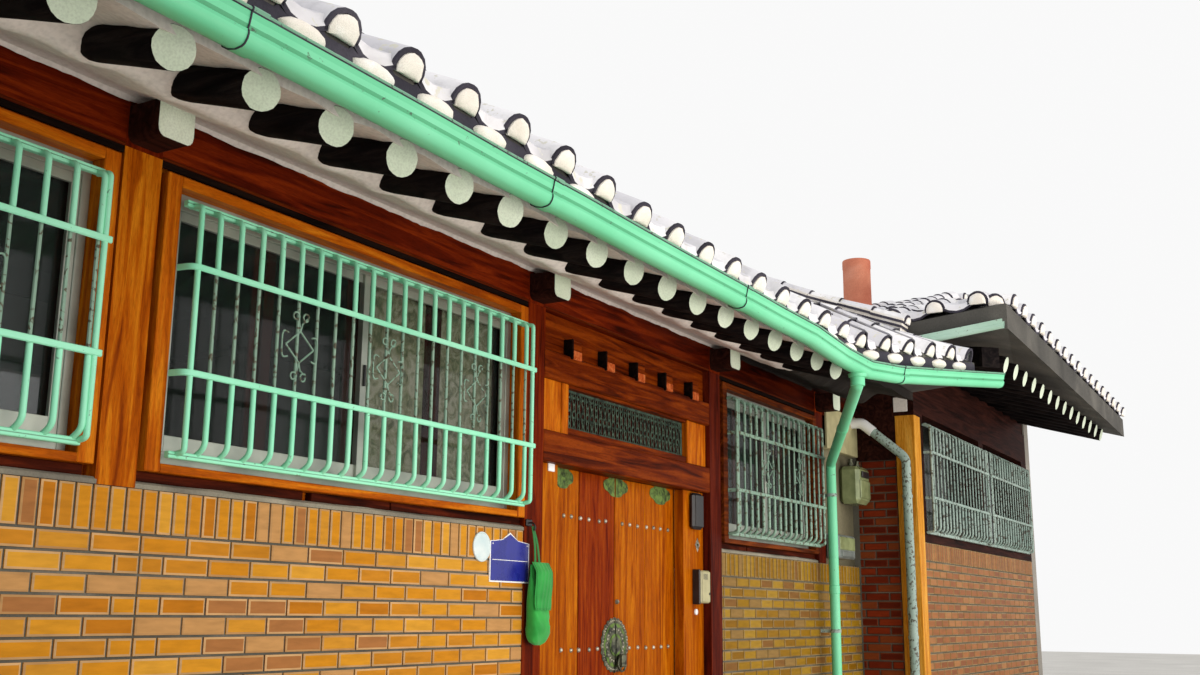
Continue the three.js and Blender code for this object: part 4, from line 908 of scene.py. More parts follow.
def pan_course(shape, path, side):
    """A row of shallow channel tiles between two rows of cover tiles."""
    side = Vector(side)
    across = steps(-0.5, 0.5, 6)
    for i, (low, high, along, up) in enumerate(tile_seats(path, side)):
        tint = 0.6 * chance.random()
        drop = chance.uniform(-STRAY, STRAY)
        front, curve = (-0.024, EAVE_BEND) if i == 0 else (PAN_LIFT, PAN_BEND)
        rings = []
        for centre, rise, bend in ((low + along * 0.01, front, curve),
                                   (low, front, curve),
                                   (low, front + 0.018, curve),
                                   (low + along * 0.03, PAN_LIFT + 0.010, PAN_BEND),
                                   (high + along * 0.01, PAN_LIFT + 0.004, PAN_BEND)):
            rings.append([centre + side * (a * TILE_PITCH)
                          + up * (rise + drop + bend * TILE_PITCH * (2 * a) ** 2) for a in across])
        shape.weave(rings[:3], RIM, tint)
        shape.weave(rings[2:], 0, tint)


def eave_fill(shape, start, stop, first, edge, out):
    """Dark board under the lowest tiles, and a lump of plaster below each channel tile. edge gives the bed's
    top corner at a distance along the eave."""
    rows = []
    for t in steps(start, stop, round((stop - start) / 0.016)):
        beside = abs(((t - first) / TILE_PITCH + 0.5) % 1 - 0.5) * TILE_PITCH
        under_pan = EAVE_BEND * TILE_PITCH * (1 - 2 * beside / TILE_PITCH) ** 2
        crown = -0.004 if beside < 0.058 else min(0.010, under_pan - 0.022)
        rows.append([edge(t) + out * o + Vector((0, 0, u)) for o, u in
                     ((-0.004, crown), (0.003, crown - 0.004), (0.003, -0.088), (-0.004, -0.096))])
    shape.loft(rows, RIM)
    t = first + TILE_PITCH / 2
    while t < stop - TILE_PITCH / 2:
        if t > start:
            eave_lump(shape, edge(t) + Vector((0, 0, -0.040)), edge(t + 0.05) - edge(t), out)
        t += TILE_PITCH


def eave_lump(shape, centre, along, out):
    """The lump of plaster below a channel tile, flatter above than below."""
    half = 0.098 * along.normalized()

    def place(t, reach, bulge):
        up = Vector((0, 0, 0.030 if t < math.pi else 0.040))
        return centre + half * reach * math.cos(t) + up * reach * math.sin(t) + out * bulge

    lump(shape, EAVE_LUMP_PROFILE, 20, 0.94, 1.04, place)


def lay_tiles(shape, rows, side, missing=(), raised=0.0):
    """Cover tiles on each path of rows, with channel tiles between neighbours. missing are the rows whose
    plug has fallen out."""
    rows = [[p + Vector((0, 0, raised)) for p in path] if path else None for path in rows]
    for i, path in enumerate(rows):
        if path:
            tile_course(shape, path, side, plug=i not in missing)
    for a, b in zip(rows, rows[1:]):
        if a and b:
            pan_course(shape, [(p + q) / 2 for p, q in zip(a, b)], side)


# Gap between the rows of tiles and the valley's line
VALLEY_GAP = 0.03


def valley_x(top):
    """The X at which the range's slope meets the wing's at a height."""
    return WING_EAVE.x + (top - WING_EAVE.z) / WING_SLOPE


def valley_foot():
    """The Y at which the street side's valley starts on the wing's eave."""
    wall = range_top(0, 0)
    return (WING_EAVE.z - wall) / (EAVE_TOP + EAVE_LINE[-1][1] - wall) * (EAVE_Y - FLARE_OUT)


def back_valley_foot():
    """The Y at which the yard side's valley starts on the wing's eave."""
    return DEPTH - (WING_EAVE.z - range_top(0, 0)) / SLOPE


def range_rows(turn, eave, top, valley):
    """Paths of the cover tiles on one slope of the range: four points each, from the eave or the valley."""
    crest = RIDGE_Y - 0.100
    rows = []
    x = TILE_FIRST
    while x < valley[-1][0] - 0.25:
        foot = between(valley, x) + VALLEY_GAP if x > WING_EAVE.x else eave(x) - 0.006
        run = (crest - foot) / 3
        bends = (foot / 2, 0.0) if foot < 0 else (foot + run, foot + 2 * run)
        rows.append([Vector((x, turn(y), top(x, y))) for y in (foot, *bends, crest)])
        x += TILE_PITCH
    return rows


def make_range_slope(name, turn, eave, top, valley, missing=()):
    shape = Shape()
    lay_tiles(shape, range_rows(turn, eave, top, valley), (1, 0, 0), missing)
    eave_fill(shape, HOUSE_LEFT + 0.002, WING_EAVE.x - 0.005, TILE_FIRST,
              lambda x: Vector((x, turn(eave(x)), top(x, eave(x)))), Vector((0, turn(0) - turn(1), 0)))
    shape.piece(name, ROOFING)


def make_range_roof():
    crest = (valley_x(range_top(0, RIDGE_Y)), RIDGE_Y)
    make_range_slope("range_tiles_street", on_street, range_eave, range_top,
                     [(WING_EAVE.x, valley_foot()), (valley_x(range_top(0, 0)), 0), crest], missing=(28,))
    make_range_slope("range_tiles_yard", on_yard, lambda x: EAVE_Y, lambda x, y: range_top(0, y),
                     [(WING_EAVE.x, DEPTH - back_valley_foot()), crest])


def share(x, y, a, b, c):
    """How much of corner a there is at a point of the triangle a, b, c: 1 at a and 0 on the line b to c."""
    whole = (b[0] - a[0]) * (c[1] - a[1]) - (c[0] - a[0]) * (b[1] - a[1])
    part = (b[0] - x) * (c[1] - y) - (c[0] - x) * (b[1] - y)
    return max(0.0, part / whole)


CORNER = (WING_EAVE.x, WING_EAVE.y)
HIP_TOP = (WING_EAVE.x + WING_GABLE_Y - WING_EAVE.y, WING_GABLE_Y)


WING_MIDDLE_Y = (WING_FRONT + DEPTH) / 2

# Height of the wing's tiles over its bed, on its slopes and its skirts, and the least length of a row
WING_RAISED = 0.030
SKIRT_RAISED = 0.024
SHORTEST_ROW = 0.1


def mirrored(y):
    """The same place at the other end of the wing."""
    return WING_FRONT + DEPTH - y


def west_top(x, y):
    """Height of the wing's slope towards the range, whose corners lift."""
    lift = WING_LIFT * share(x, min(y, mirrored(y)), CORNER, HIP_TOP, (WING_EAVE.x, valley_foot()))
    return WING_EAVE.z + WING_SLOPE * (x - WING_EAVE.x) + lift


def skirt_top(x, y):
    """Height of the skirt under the wing's gable, whose corner lifts."""
    lift = WING_LIFT * share(x, y, CORNER, (WING_RIGHT, WING_EAVE.y), HIP_TOP)
    return WING_EAVE.z + WING_SLOPE * (y - WING_EAVE.y) + lift


def west_foot(y):
    """The X at which the wing's west slope starts, on its eave or in the valley."""
    start, stop = valley_foot(), back_valley_foot()
    if y < start or y > stop:
        return WING_EAVE.x - 0.004
    bend = valley_x(range_top(0, 0))
    crest = valley_x(range_top(0, RIDGE_Y))
    valley = [(start, WING_EAVE.x), (0, bend), (RIDGE_Y, crest), (stop, WING_EAVE.x)]
    return between(valley, y) + VALLEY_GAP


def make_wing_roof():
    """Tiles on the slope towards the range, on its opposite, and on the skirt under each gable."""
    shape = Shape()
    rows = []
    y = WING_EAVE.y + 0.20
    while y < mirrored(WING_EAVE.y) - 0.15:
        near = min(y, mirrored(y))
        foot = west_foot(y)
        top = WING_MID - 0.10 if near > WING_GABLE_Y else WING_EAVE.x + near - WING_EAVE.y - 0.06
        rows.append([Vector((x, y, west_top(x, y))) for x in (foot, (foot + top) / 2, top)]
                    if top > foot + SHORTEST_ROW else None)
        y += TILE_PITCH
    lay_tiles(shape, rows, (0, 1, 0), raised=WING_RAISED)
    rows = []
    y = WING_GABLE_Y + 0.16
    while y < mirrored(WING_GABLE_Y):
        stops = (WING_RIGHT, (WING_RIGHT + WING_MID) / 2, WING_MID + 0.10)
        rows.append([Vector((x, y, west_top(2 * WING_MID - x, WING_MIDDLE_Y))) for x in stops])
        y += TILE_PITCH
    lay_tiles(shape, rows, (0, 1, 0), raised=WING_RAISED)
    for turn in (on_street, mirrored):
        rows = []
        x = WING_EAVE.x + 0.24
        while x < WING_RIGHT - 0.05:
            top = min(WING_GABLE_Y - 0.02, WING_EAVE.y + x - WING_EAVE.x - 0.06)
            foot = WING_EAVE.y - 0.004
            rows.append([Vector((x, turn(y), skirt_top(x, y))) for y in (foot, (foot + top) / 2, top)]
                        if top > foot + SHORTEST_ROW else None)
            x += TILE_PITCH
        lay_tiles(shape, rows, (1, 0, 0), raised=SKIRT_RAISED)
    shape.piece("wing_tiles", ROOFING)


def ridge_stack(shape, path, half, courses, radius=0.085):
    """Courses of flat tile bedded in pale mortar, under a row of round tiles."""
    step = 0.039
    core = ((-1, -0.100), (1, -0.100), (1, courses * step), (-1, courses * step))
    for a, b in zip(path, path[1:]):
        along = (b - a).normalized()
        side = along.cross(Vector((0, 0, 1))).normalized()
        up = side.cross(along)
        count = max(1, round((b - a).length / 0.28))
        ends = (a + along * 0.01, b - along * 0.01)
        shape.loft([[p + side * s * (half - 0.028) + up * h for s, h in core] for p in ends], 1, soft=False)
        for level in range(courses):
            for i in range(count):
                start = a + (b - a) * (i / count) + along * 0.002
                stop = a + (b - a) * ((i + 1) / count) - along * 0.002
                wide = half - 0.003 * level + chance.uniform(-0.005, 0.003)
                low = level * step + chance.uniform(0.004, 0.010)
                corners = ((-1, low), (1, low), (0.97, low + 0.017), (-0.97, low + 0.017))
                rings = [[p + side * s * wide + up * h for s, h in corners] for p in (start, stop)]
                shape.loft(rings, RIM, chance.random(), soft=False)
        cap = [p + up * (courses * step - 0.012) for p in (a, b)]
        tile_course(shape, cap, side, radius, lift=0)


def on_range(x, y, raised):
    """A point over the range's bed of tiles."""
    return Vector((x, y, range_top(x, y) + raised))


def make_ridges():
    shape = Shape()
    crown = range_top(0, RIDGE_Y)
    ends = (HOUSE_LEFT + 0.01, valley_x(crown) - 0.05)
    ridge_stack(shape, [Vector((x, RIDGE_Y, crown)) for x in ends], 0.125, 4)
    shape.piece("range_ridge_stack", ROOFING, replaces=["range_ridge"])

    shape = Shape()
    crown = WING_EAVE.z + WING_SLOPE * (WING_MID - WING_EAVE.x)
    ends = (WING_GABLE_Y + 0.01, mirrored(WING_GABLE_Y) - 0.01)
    ridge_stack(shape, [Vector((WING_MID, y, crown)) for y in ends], 0.125, 1)
    shape.piece("wing_ridge_stack", ROOFING, replaces=["wing_ridge"])

    shape = Shape()
    stops = ((-0.750, 0.0), (0.0, VERGE_BOW), (RIDGE_Y - 0.135, 0.0))
    ridge_stack(shape, [on_range(VERGE_X, y, raised) for y, raised in stops], 0.105, 5, radius=0.054)
    shape.piece("range_verge_stack", ROOFING, replaces=["range_verge_ridge"])

    shape = Shape()
    for turn in (on_street, mirrored):
        foot = Vector((WING_EAVE.x + 0.10, turn(WING_EAVE.y + 0.10), west_top(*CORNER)))
        top = Vector((HIP_TOP[0], turn(HIP_TOP[1]), WING_EAVE.z + WING_SLOPE * (HIP_TOP[0] - WING_EAVE.x)))
        ridge_stack(shape, [foot, top], 0.095, 1, radius=0.080)
        inset = turn(WING_GABLE_Y + 0.12)
        for x in (HIP_TOP[0] + 0.05, WING_RIGHT - 0.05):
            low = Vector((x, inset, WING_EAVE.z + WING_SLOPE * (WING_MID - WING_EAVE.x - abs(x - WING_MID))))
            high = Vector((WING_MID + math.copysign(0.12, x - WING_MID), inset, crown - 0.03))
            ridge_stack(shape, [low, high], 0.095, 2, radius=0.080)
    shape.piece("wing_hip_stacks", ROOFING)


# Rainwater goods

def gutter_run(shape, stations, outline, kind=0, stripes=None):
    """Sheet metal along stations, each a place and the way across it. stripes are materials of its sides."""
    rows = [[place + across * out + Vector((0, 0, up)) for out, up in outline] for place, across in stations]
    first = len(shape.faces)
    shape.loft(rows, kind)
    for side, other in (stripes or {}).items():
        for i in range(len(rows) - 1):
            shape.kinds[first + i * len(outline) + side] = other


def sheet_section(outline, thick):
    """Both faces of bent sheet metal, from the line of its outer face."""
    inner = []
    for i, (x, z) in enumerate(outline):
        before = outline[max(i - 1, 0)]
        after = outline[min(i + 1, len(outline) - 1)]
        dx, dz = after[0] - before[0], after[1] - before[1]
        size = math.hypot(dx, dz)
        inner.append((x - thick * dz / size, z + thick * dx / size))
    return outline + inner[::-1]


# The gutter's section as (out, up) from its lowest line, from the rolled lip to the edge at the tiles
GUTTER_LINE = [(-0.0665, 0.104), (-0.070, 0.108), (-0.076, 0.108), (-0.079, 0.103), (-0.077, 0.098),
               (-0.073, 0.095), (-0.070, 0.078), (-0.066, 0.060), (-0.062, 0.050), (-0.066, 0.046),
               (-0.067, 0.036), (-0.063, 0.022), (-0.054, 0.009), (-0.043, 0.003), (-0.020, 0.0),
               (0.004, 0.006), (0.025, 0.018), (0.042, 0.055), (0.046, 0.100)]

# Heights and reaches of that line as (X, value) stations, and the places of the sheets' joints
GUTTER_STOPS = [(0.055, 2.879), (6.500, 2.852), (7.000, 2.824), (7.430, 2.822), (7.780, 2.841),
                (9.320, 3.027)]
GUTTER_REACH = [(7.430, -0.995), (7.780, -1.063), (9.320, -1.360)]
GUTTER_JOINTS = [0.75, 2.28, 3.80, 5.56, 7.86]

# Sides of the section that don't take the first paint: the lip, the dark line under it, which is painted
# shade, painted shade on the upper face and under the crease, and darker painted shade in the crease
SHADE, LIP, LINE, CREASE = 2, 3, 4, 5
GUTTER_STRIPES = {1: LIP, 2: LIP, 3: LIP, 4: LINE, 5: SHADE, 7: CREASE, 8: CREASE, 9: SHADE}
OUTLET_X = 7.280
OUTLET_Y = -1.015


def gutter_place(x):
    return Vector((x, between(GUTTER_REACH, x), between(GUTTER_STOPS, x)))


def make_street_gutter():
    shape = Shape()
    across = Vector((0, 1, 0))
    section = sheet_section(GUTTER_LINE, 0.003)
    start, end = GUTTER_STOPS[0][0], GUTTER_STOPS[-1][0]
    xs = [start, *steps(0.5, 7.0, 13), 7.30, 7.43, 7.60, 7.78, 8.2, 8.8, end]
    stations = [(gutter_place(x) + Vector((0, 0, 0.002 * math.sin(5 * x))), across) for x in xs]
    gutter_run(shape, stations, section, stripes=GUTTER_STRIPES)
    collar = [(out + math.copysign(0.0035, out), up - 0.0035 if up < 0.1 else up + 0.002)
              for out, up in GUTTER_LINE]
    wrap = sheet_section(collar, 0.0034)
    for x in GUTTER_JOINTS:
        for a, b, kind, stripes in ((-0.030, 0.030, 0, GUTTER_STRIPES), (-0.034, -0.030, LINE, None)):
            gutter_run(shape, [(gutter_place(x + d), across) for d in (a, b)], wrap, kind, stripes)
    for x in (start, end - 0.003):
        stop = [gutter_place(x) + across * out + Vector((0, 0, up)) for out, up in GUTTER_LINE]
        shape.loft([stop, [p + Vector((0.003, 0, 0)) for p in stop]])
    outlet = Vector((OUTLET_X, OUTLET_Y, gutter_place(OUTLET_X).z))
    funnel = [(0, 0.043), (0.05, 0.043), (0.052, 0.052), (0.071, 0.056)]
    shape.spun(outlet + Vector((0, 0, -0.070)), funnel, 20, axis="Z")
    strap_line = ((-0.070, 0.105), (0.0, 0.103), (0.050, 0.100))
    strap_section = ((-0.010, 0), (0.010, 0), (0.010, 0.002), (-0.010, 0.002))
    x = 0.45
    while x < 9.2:
        strap = [gutter_place(x) + Vector((0, out, up)) for out, up in strap_line]
        shape.loft([[p + Vector((dx, 0, dz)) for dx, dz in strap_section] for p in strap], 1, soft=False)
        x += 0.76
    shape.piece("street_gutter_sheet", [mint, grey_mint, mint_shaded, mint_lip, tile_edge, mint_crease],
                replaces=["street_gutter"])


def make_wing_gutter():
    """The same section, smaller, along the wing's eave towards the range."""
    shape = Shape()
    across = Vector((1, 0, 0))
    scale = 0.6
    x = span("wing_gutter")[1].x - GUTTER_LINE[-1][0] * scale
    stations = [(Vector((x, y, z)), across) for y, z in ((-0.760, 3.355), (-1.10, 3.3904), (-1.480, 3.430))]
    gutter_run(shape, stations, sheet_section([(out * scale, up * scale) for out, up in GUTTER_LINE], 0.0025))
    shape.piece("wing_gutter_sheet", [pale_paint], replaces=["wing_gutter"])


def make_downpipe(name, node, path, material, straps, joints, elbow=None):
    """A pipe along its path. straps are (centre, wall) points, joints the (place, direction) of sleeves."""
    shape = Shape()
    shape.tube(rounded_path(path, 0.05), 0.0365, 20)
    for place, along in joints:
        along = Vector(along).normalized()
        sleeve = [Vector(place) + along * reach for reach in (-0.03, -0.027, 0.027, 0.03)]
        shape.tube(sleeve, [0.037, 0.040, 0.040, 0.037], 20)
    for centre, wall in straps:
        centre, wall = Vector(centre), Vector(wall)
        ring = [centre + Vector((0.0405 * math.cos(t), 0.0405 * math.sin(t), 0)) for t in turns(20)]
        rows = [[p + Vector((0, 0, z)) + (p - centre) * s for p in ring]
                for z, s in ((-0.012, -0.05), (-0.012, 0), (0.012, 0), (0.012, -0.05))]
        shape.weave(rows, 1, ring=True, soft=False)
        side = (wall - centre).normalized().cross(Vector((0, 0, 1)))
        section = ((-0.003, -0.012), (0.003, -0.012), (0.003, 0.012), (-0.003, 0.012))
        arm = [[p + side * a + Vector((0, 0, z)) for a, z in section] for p in (centre.lerp(wall, 0.3), wall)]
        shape.loft(arm, 1, soft=False)
    if elbow:
        shape.tube(rounded_path(elbow, 0.035), 0.043, 20, kind=2)
    shape.piece(name, [material, grey_mint, white_paint], replaces=[node])


def rounded_path(path, radius, count=6):
    """The same path with each corner turned in a curve."""
    path = [Vector(p) for p in path]
    result = [path[0]]
    for before, corner, after in zip(path, path[1:], path[2:]):
        reach = min(radius, (before - corner).length / 2, (after - corner).length / 2)
        a = corner + (before - corner).normalized() * reach
        b = corner + (after - corner).normalized() * reach
        for t in steps(0, 1, count):
            result.append(a * (1 - t) ** 2 + corner * 2 * t * (1 - t) + b * t * t)
    result.append(path[-1])
    return result


def make_rainwater():
    make_street_gutter()
    make_wing_gutter()
    x, y = 9.262, -0.118
    path = [(OUTLET_X, OUTLET_Y, 2.8217), (OUTLET_X, OUTLET_Y, 2.762), (x, y, 2.540), (x, y, 2.440),
            (x, y, 0.080), (x, y - 0.047, 0.048)]
    make_downpipe("downpipe_range_pipe", "downpipe_range", path, mint,
                  [((x, y, z), (x, -0.002, z)) for z in (2.300, 1.300, 0.350)],
                  [((x, y, 1.60), (0, 0, 1)), ((8.271, -0.5665, 2.651), (1.982, 0.897, -0.222))])
    x, y = 10.118, -0.445
    path = [(10.075, -SEAT, 2.960), (10.075, -0.100, 2.960), (x, y, 2.660), (x, y, 2.560), (x, y, 0.020)]
    make_downpipe("downpipe_corner_pipe", "downpipe_corner", path, grey_mint,
                  [((x, y, z), (WING_LEFT, y, z)) for z in (2.350, 1.250, 0.350)],
                  [((x, y, 1.45), (0, 0, 1))],
                  elbow=[(10.075, -0.012, 2.960), (10.075, -0.100, 2.960), (10.088, -0.190, 2.881)])


# Windows

# Front of the windows' casings, and numbers of the inner sashes' two glasses
CASING_FRONT = -0.015
FIGURED, CLEAR = 2, 3


def frame_members(shape, x, z, hole_x, hole_z, y, kinds=(0, 1), edge=0.003):
    """Head and sill between two uprights. kinds are the materials of the level and of the upright timbers."""
    shape.block((x[0], y[0], z[0]), (hole_x[0], y[1], z[1]), kinds[1], edge)
    shape.block((hole_x[1], y[0], z[0]), (x[1], y[1], z[1]), kinds[1], edge)
    shape.block((hole_x[0], y[0], z[0]), (hole_x[1], y[1], hole_z[0]), kinds[0], edge)
    shape.block((hole_x[0], y[0], hole_z[1]), (hole_x[1], y[1], z[1]), kinds[0], edge)


def make_window(number):
    """Casing, aluminium sashes and the timber sashes behind them."""
    shape = Shape()
    low, high = span(f"window_frame_{number}")
    x0, x1 = low.x, high.x
    hole_x = (x0 + 0.085, x1 - 0.085)
    hole_z = (1.890, 2.868)
    frame_members(shape, (x0, x1), (DADO_TOP + SEAT, BEAM_LOW - SEAT), hole_x, hole_z, (0.060, 0.150),
                  edge=0.002)
    frame_members(shape, (x0 + 0.020, x1 - 0.020), (1.860, 2.908), hole_x, hole_z,
                  (CASING_FRONT, 0.060 - SEAT))
    # Window 3's casing takes the dark timber as painted shade.
    timbers = [casing_shaded, casing_shaded] if number == 3 else [casing_wood, casing_upright]
    shape.piece(f"window_{number}_casing", timbers, replaces=[f"window_frame_{number}"])

    shape = Shape()
    inner_x = (hole_x[0] + 0.035, hole_x[1] - 0.035)
    inner_z = (hole_z[0] + 0.050, hole_z[1] - 0.058)
    frame_members(shape, hole_x, hole_z, inner_x, inner_z, (0.046, 0.0795), (0, 0), 0.002)
    middle = sum(hole_x) / 2
    stile = 0.036
    opening = (inner_z[0] + 0.060, inner_z[1] - 0.035)
    for left, right, y in ((inner_x[0], middle + stile / 2, 0.062), (middle - stile / 2, inner_x[1], 0.050)):
        frame_members(shape, (left, right), inner_z, (left + stile, right - stile), opening, (y, y + 0.016),
                      (0, 0), 0.0015)
    shape.block((middle - 0.006, 0.040, 2.33), (middle + 0.006, 0.050, 2.42), 1, 0.002)
    shape.piece(f"window_{number}_sashes", [aluminium, black_plastic])

    shape = Shape()
    quarter = (hole_x[1] - hole_x[0]) / 4
    y = 0.108
    z = (hole_z[0] + 0.012, hole_z[1] - 0.012)
    for i in range(4):
        a = hole_x[0] + i * quarter + 0.004
        b = a + quarter - 0.008
        hole = (a + 0.055, b - 0.055)
        frame_members(shape, (a, b), z, hole, (z[0] + 0.075, z[1] - 0.060), (y, y + 0.020))
        shape.block((hole[0] - 0.004, y + 0.006, z[0] + 0.070), (hole[1] + 0.004, y + 0.011, z[1] - 0.055),
                    FIGURED if number == 2 and i > 1 else CLEAR)
    shape.piece(f"window_{number}_inner_sashes", [frame_wood, post_dark, figured_glass, pane_glass])
    dress(pane_glass, f"window_pane_{number}")


def ornament(shape, x, y, z, kind):
    """A wrought lozenge between four curls, set on a bar."""
    wide, tall, rod = 0.075, 0.145, 0.0035
    lozenge = [(0, tall * 0.42), (wide, 0), (0, -tall * 0.42), (-wide, 0)]
    for a, b in zip(lozenge, lozenge[1:] + lozenge[:1]):
        shape.tube([(x + a[0], y, z + a[1]), (x + b[0], y, z + b[1])], rod, 6, kind)
    for s in (-1, 1):
        for t in (-1, 1):
            centre = Vector((x + s * 0.027, y, z + t * tall * 0.80))
            curl = [centre + Vector((0.019 * math.cos(a), 0, 0.019 * math.sin(a))) * k
                    for a, k in [(s * 0.5 + i * 0.62, 1 - 0.045 * i) for i in range(11)]]
            stem = [(x, y, z + t * tall * 0.42), (x + s * 0.008, y, z + t * tall * 0.62)]
            shape.tube([*stem, *curl], rod, 6, kind)
        side = [(x + s * (wide - 0.012), y, z - 0.045), (x + s * (wide + 0.012), y, z - 0.052),
                (x + s * (wide + 0.020), y, z - 0.035), (x + s * (wide + 0.020), y, z + 0.035),
                (x + s * (wide + 0.012), y, z + 0.052), (x + s * (wide - 0.012), y, z + 0.045)]
        shape.tube(rounded_path(side, 0.012, 3), rod, 6, kind)


BAR = 0.0105
RAIL_SECTION = ((-0.005, -0.009), (0, -0.012), (0.005, -0.009), (0.005, 0.009), (0, 0.012), (-0.005, 0.009))


def make_grille(place, number, first, pitch, count, materials, ornaments=(), wall=CASING_FRONT, lift=0.0,
                inset=0.008):
    """Welded bars on two long rails: the bars turn in at the foot and head to a rail near the wall."""
    shape = Shape()
    node = f"{place}_grille_{number}"
    low, high = span(node)
    front = low.y + 0.014
    back = wall - 0.022
    bottom, top = low.z + 0.010, high.z - 0.010
    rails = (2.200 + lift, 2.574 + lift)
    x0, x1 = low.x + 0.016, high.x - 0.016
    for z, y in ((bottom, back), (top, back)):
        shape.block((x0, y - 0.012, z - 0.012), (x1, y + 0.012, z + 0.012), 0, 0.003)
        shape.block((x0, y - 0.0135, z - 0.0015), (x1, y - 0.010, z + 0.0015), 2)
    for x in (x0 + inset, x1 - 0.008):
        bent = [(x, wall - 0.003, bottom), (x, front, bottom + 0.010), (x, front, top - 0.010),
                (x, wall - 0.003, top)]
        shape.tube(rounded_path(bent, 0.014), BAR, 10)
    for i in range(count):
        x = first + pitch * i
        if not x0 + 0.02 < x < x1 - 0.02:
            continue
        lean = chance.uniform(-0.002, 0.002)
        y = front + 0.004
        foot = [(x, back, bottom + 0.008), (x + lean, y, bottom + 0.034), (x, y, rails[0])]
        head = [(x, y, rails[1]), (x + lean, y, top - 0.016), (x, back, top - 0.004)]
        shape.tube(rounded_path(foot, 0.035), BAR, 10)
        shape.tube(rounded_path(head, 0.022), BAR, 10)
        shape.tube([(x, front + 0.008, rails[0]), (x, front + 0.008, rails[1])], 0.0068, 8, 1)
    for z in rails:
        y = front - 0.008
        rail = [(x0 + 0.002, wall - 0.004, z), (x0 + 0.010, y, z), (x1 - 0.004, y, z), (x1 + 0.012, y, z)]
        path = rounded_path(rail, 0.045)
        rows = []
        for i, point in enumerate(path):
            ahead = (path[min(i + 1, len(path) - 1)] - path[max(i - 1, 0)]).normalized()
            out = ahead.cross(Vector((0, 0, 1)))
            rows.append([point + out * o + Vector((0, 0, u)) for o, u in RAIL_SECTION])
        shape.loft(rows, 0)
    for x in ornaments:
        ornament(shape, x, front + 0.002, sum(rails) / 2, 1)
    shape.piece(f"{place}_{number}_grille", materials, replaces=[node])


def make_windows():
    for number in (1, 2, 3):
        make_window(number)
    bright = [bar_mint, mint_dull, mint_lip]
    make_grille("window", 1, 0.505, 0.105, 21, bright, (0.915, 1.555, 2.190))
    make_grille("window", 2, 3.110, 0.105, 20, bright, (3.540, 4.065, 4.695), inset=0.036)
    make_grille("window", 3, 7.640, 0.098, 17, [mint_dull, mint_dull, grey_mint], (8.130, 8.720))
    # The wing's grilles take the grey mint as painted shade.
    for number in (1, 2):
        first = span(f"wing_grille_{number}")[0].x + 0.11
        make_grille("wing", number, first, 0.105, 20, [grey_mint] * 3, wall=WING_FRONT, lift=0.160)


# Gate

def plate(shape, outline, front, back, kind=0):
    """A flat shape cut out of sheet, from an outline of X and Z."""
    rows = [[Vector((x, y, z)) for x, z in outline] for y in (back, front)]
    shape.loft(rows, kind, soft=False)


# The leaves' sides, the place and width of the gap between their planks, and their foot, head, front and back
LEAF = {"left": (5.605, 6.346), "right": (6.354, 7.095)}
LEAF_SPLIT = {"left": (5.957, 0.009), "right": (6.712, 0.004)}
LEAF_FOOT = 0.160
LEAF_HEAD = 2.185
LEAF_FRONT = 0.124
LEAF_BACK = 0.169
PIN_INSET = 0.012
STUD_ROWS = (1.912, 1.222, 0.532)
STUD = [(-0.004, 0.0125), (0.001, 0.0125), (0.005, 0.011), (0.009, 0.007), (0.0105, 0.003)]
BOSS = [(-0.001, 0.018), (0.002, 0.016), (0.003, 0.010), (0.001, 0.006), (0.003, 0.003)]
PLATE_MIDDLE = 2.118

# Numbers of a leaf's materials
RED_PLANK, PIN, STEEL, GREEN, IRON = 1, 2, 3, 4, 5


def make_leaf(side):
    """One leaf of the gate: two planks on battens, a pivot pin, studs, plates and half the medallion."""
    shape = Shape()
    x0, x1 = LEAF[side]
    cut, gap = LEAF_SPLIT[side]
    second = RED_PLANK if side == "left" else 0
    for a, b, kind in ((x0, cut - gap / 2, 0), (cut + gap / 2, x1, second)):
        shape.block((a, LEAF_FRONT, LEAF_FOOT), (b, LEAF_BACK, LEAF_HEAD), kind, 0.003)
    for z in (0.40, 1.20, 1.95):
        shape.block((x0 + 0.05, LEAF_BACK - 0.002, z), (x1 - 0.05, LEAF_BACK + 0.001, z + 0.10), RED_PLANK)
    pin = x0 + PIN_INSET if side == "left" else x1 - PIN_INSET
    pin_y = (LEAF_FRONT + LEAF_BACK) / 2
    shape.tube([(pin, pin_y, 0.100), (pin, pin_y, 2.240)], 0.011, 16, PIN)

    for z in STUD_ROWS:
        for i in range(15):
            x = 5.690 + 0.0936 * i + chance.uniform(-0.012, 0.012)
            z_stud = z + chance.uniform(-0.003, 0.003)
            near_plate = math.hypot(x - 6.335, z_stud - 1.240) < 0.165
            if x0 + 0.01 < x < x1 - 0.01 and not near_plate:
                shape.spun((x, LEAF_FRONT, z_stud), STUD, 12, STEEL)
    for a, b in ((5.675, 5.890), (6.215, 6.500), (6.770, 7.040)):
        if b > x0 and a < x1:
            leaf_plate(shape, a, b, (x0 + 0.003, x1 - 0.003))
    half_medallion(shape, side)
    shape.piece(f"gate_leaf_{side}_planks",
                [plank_wood, plank_red, patina_iron, stud_metal, patina_green, patina_iron],
                body=f"{side}_leaf", replaces=[f"gate_leaf_{side}"])


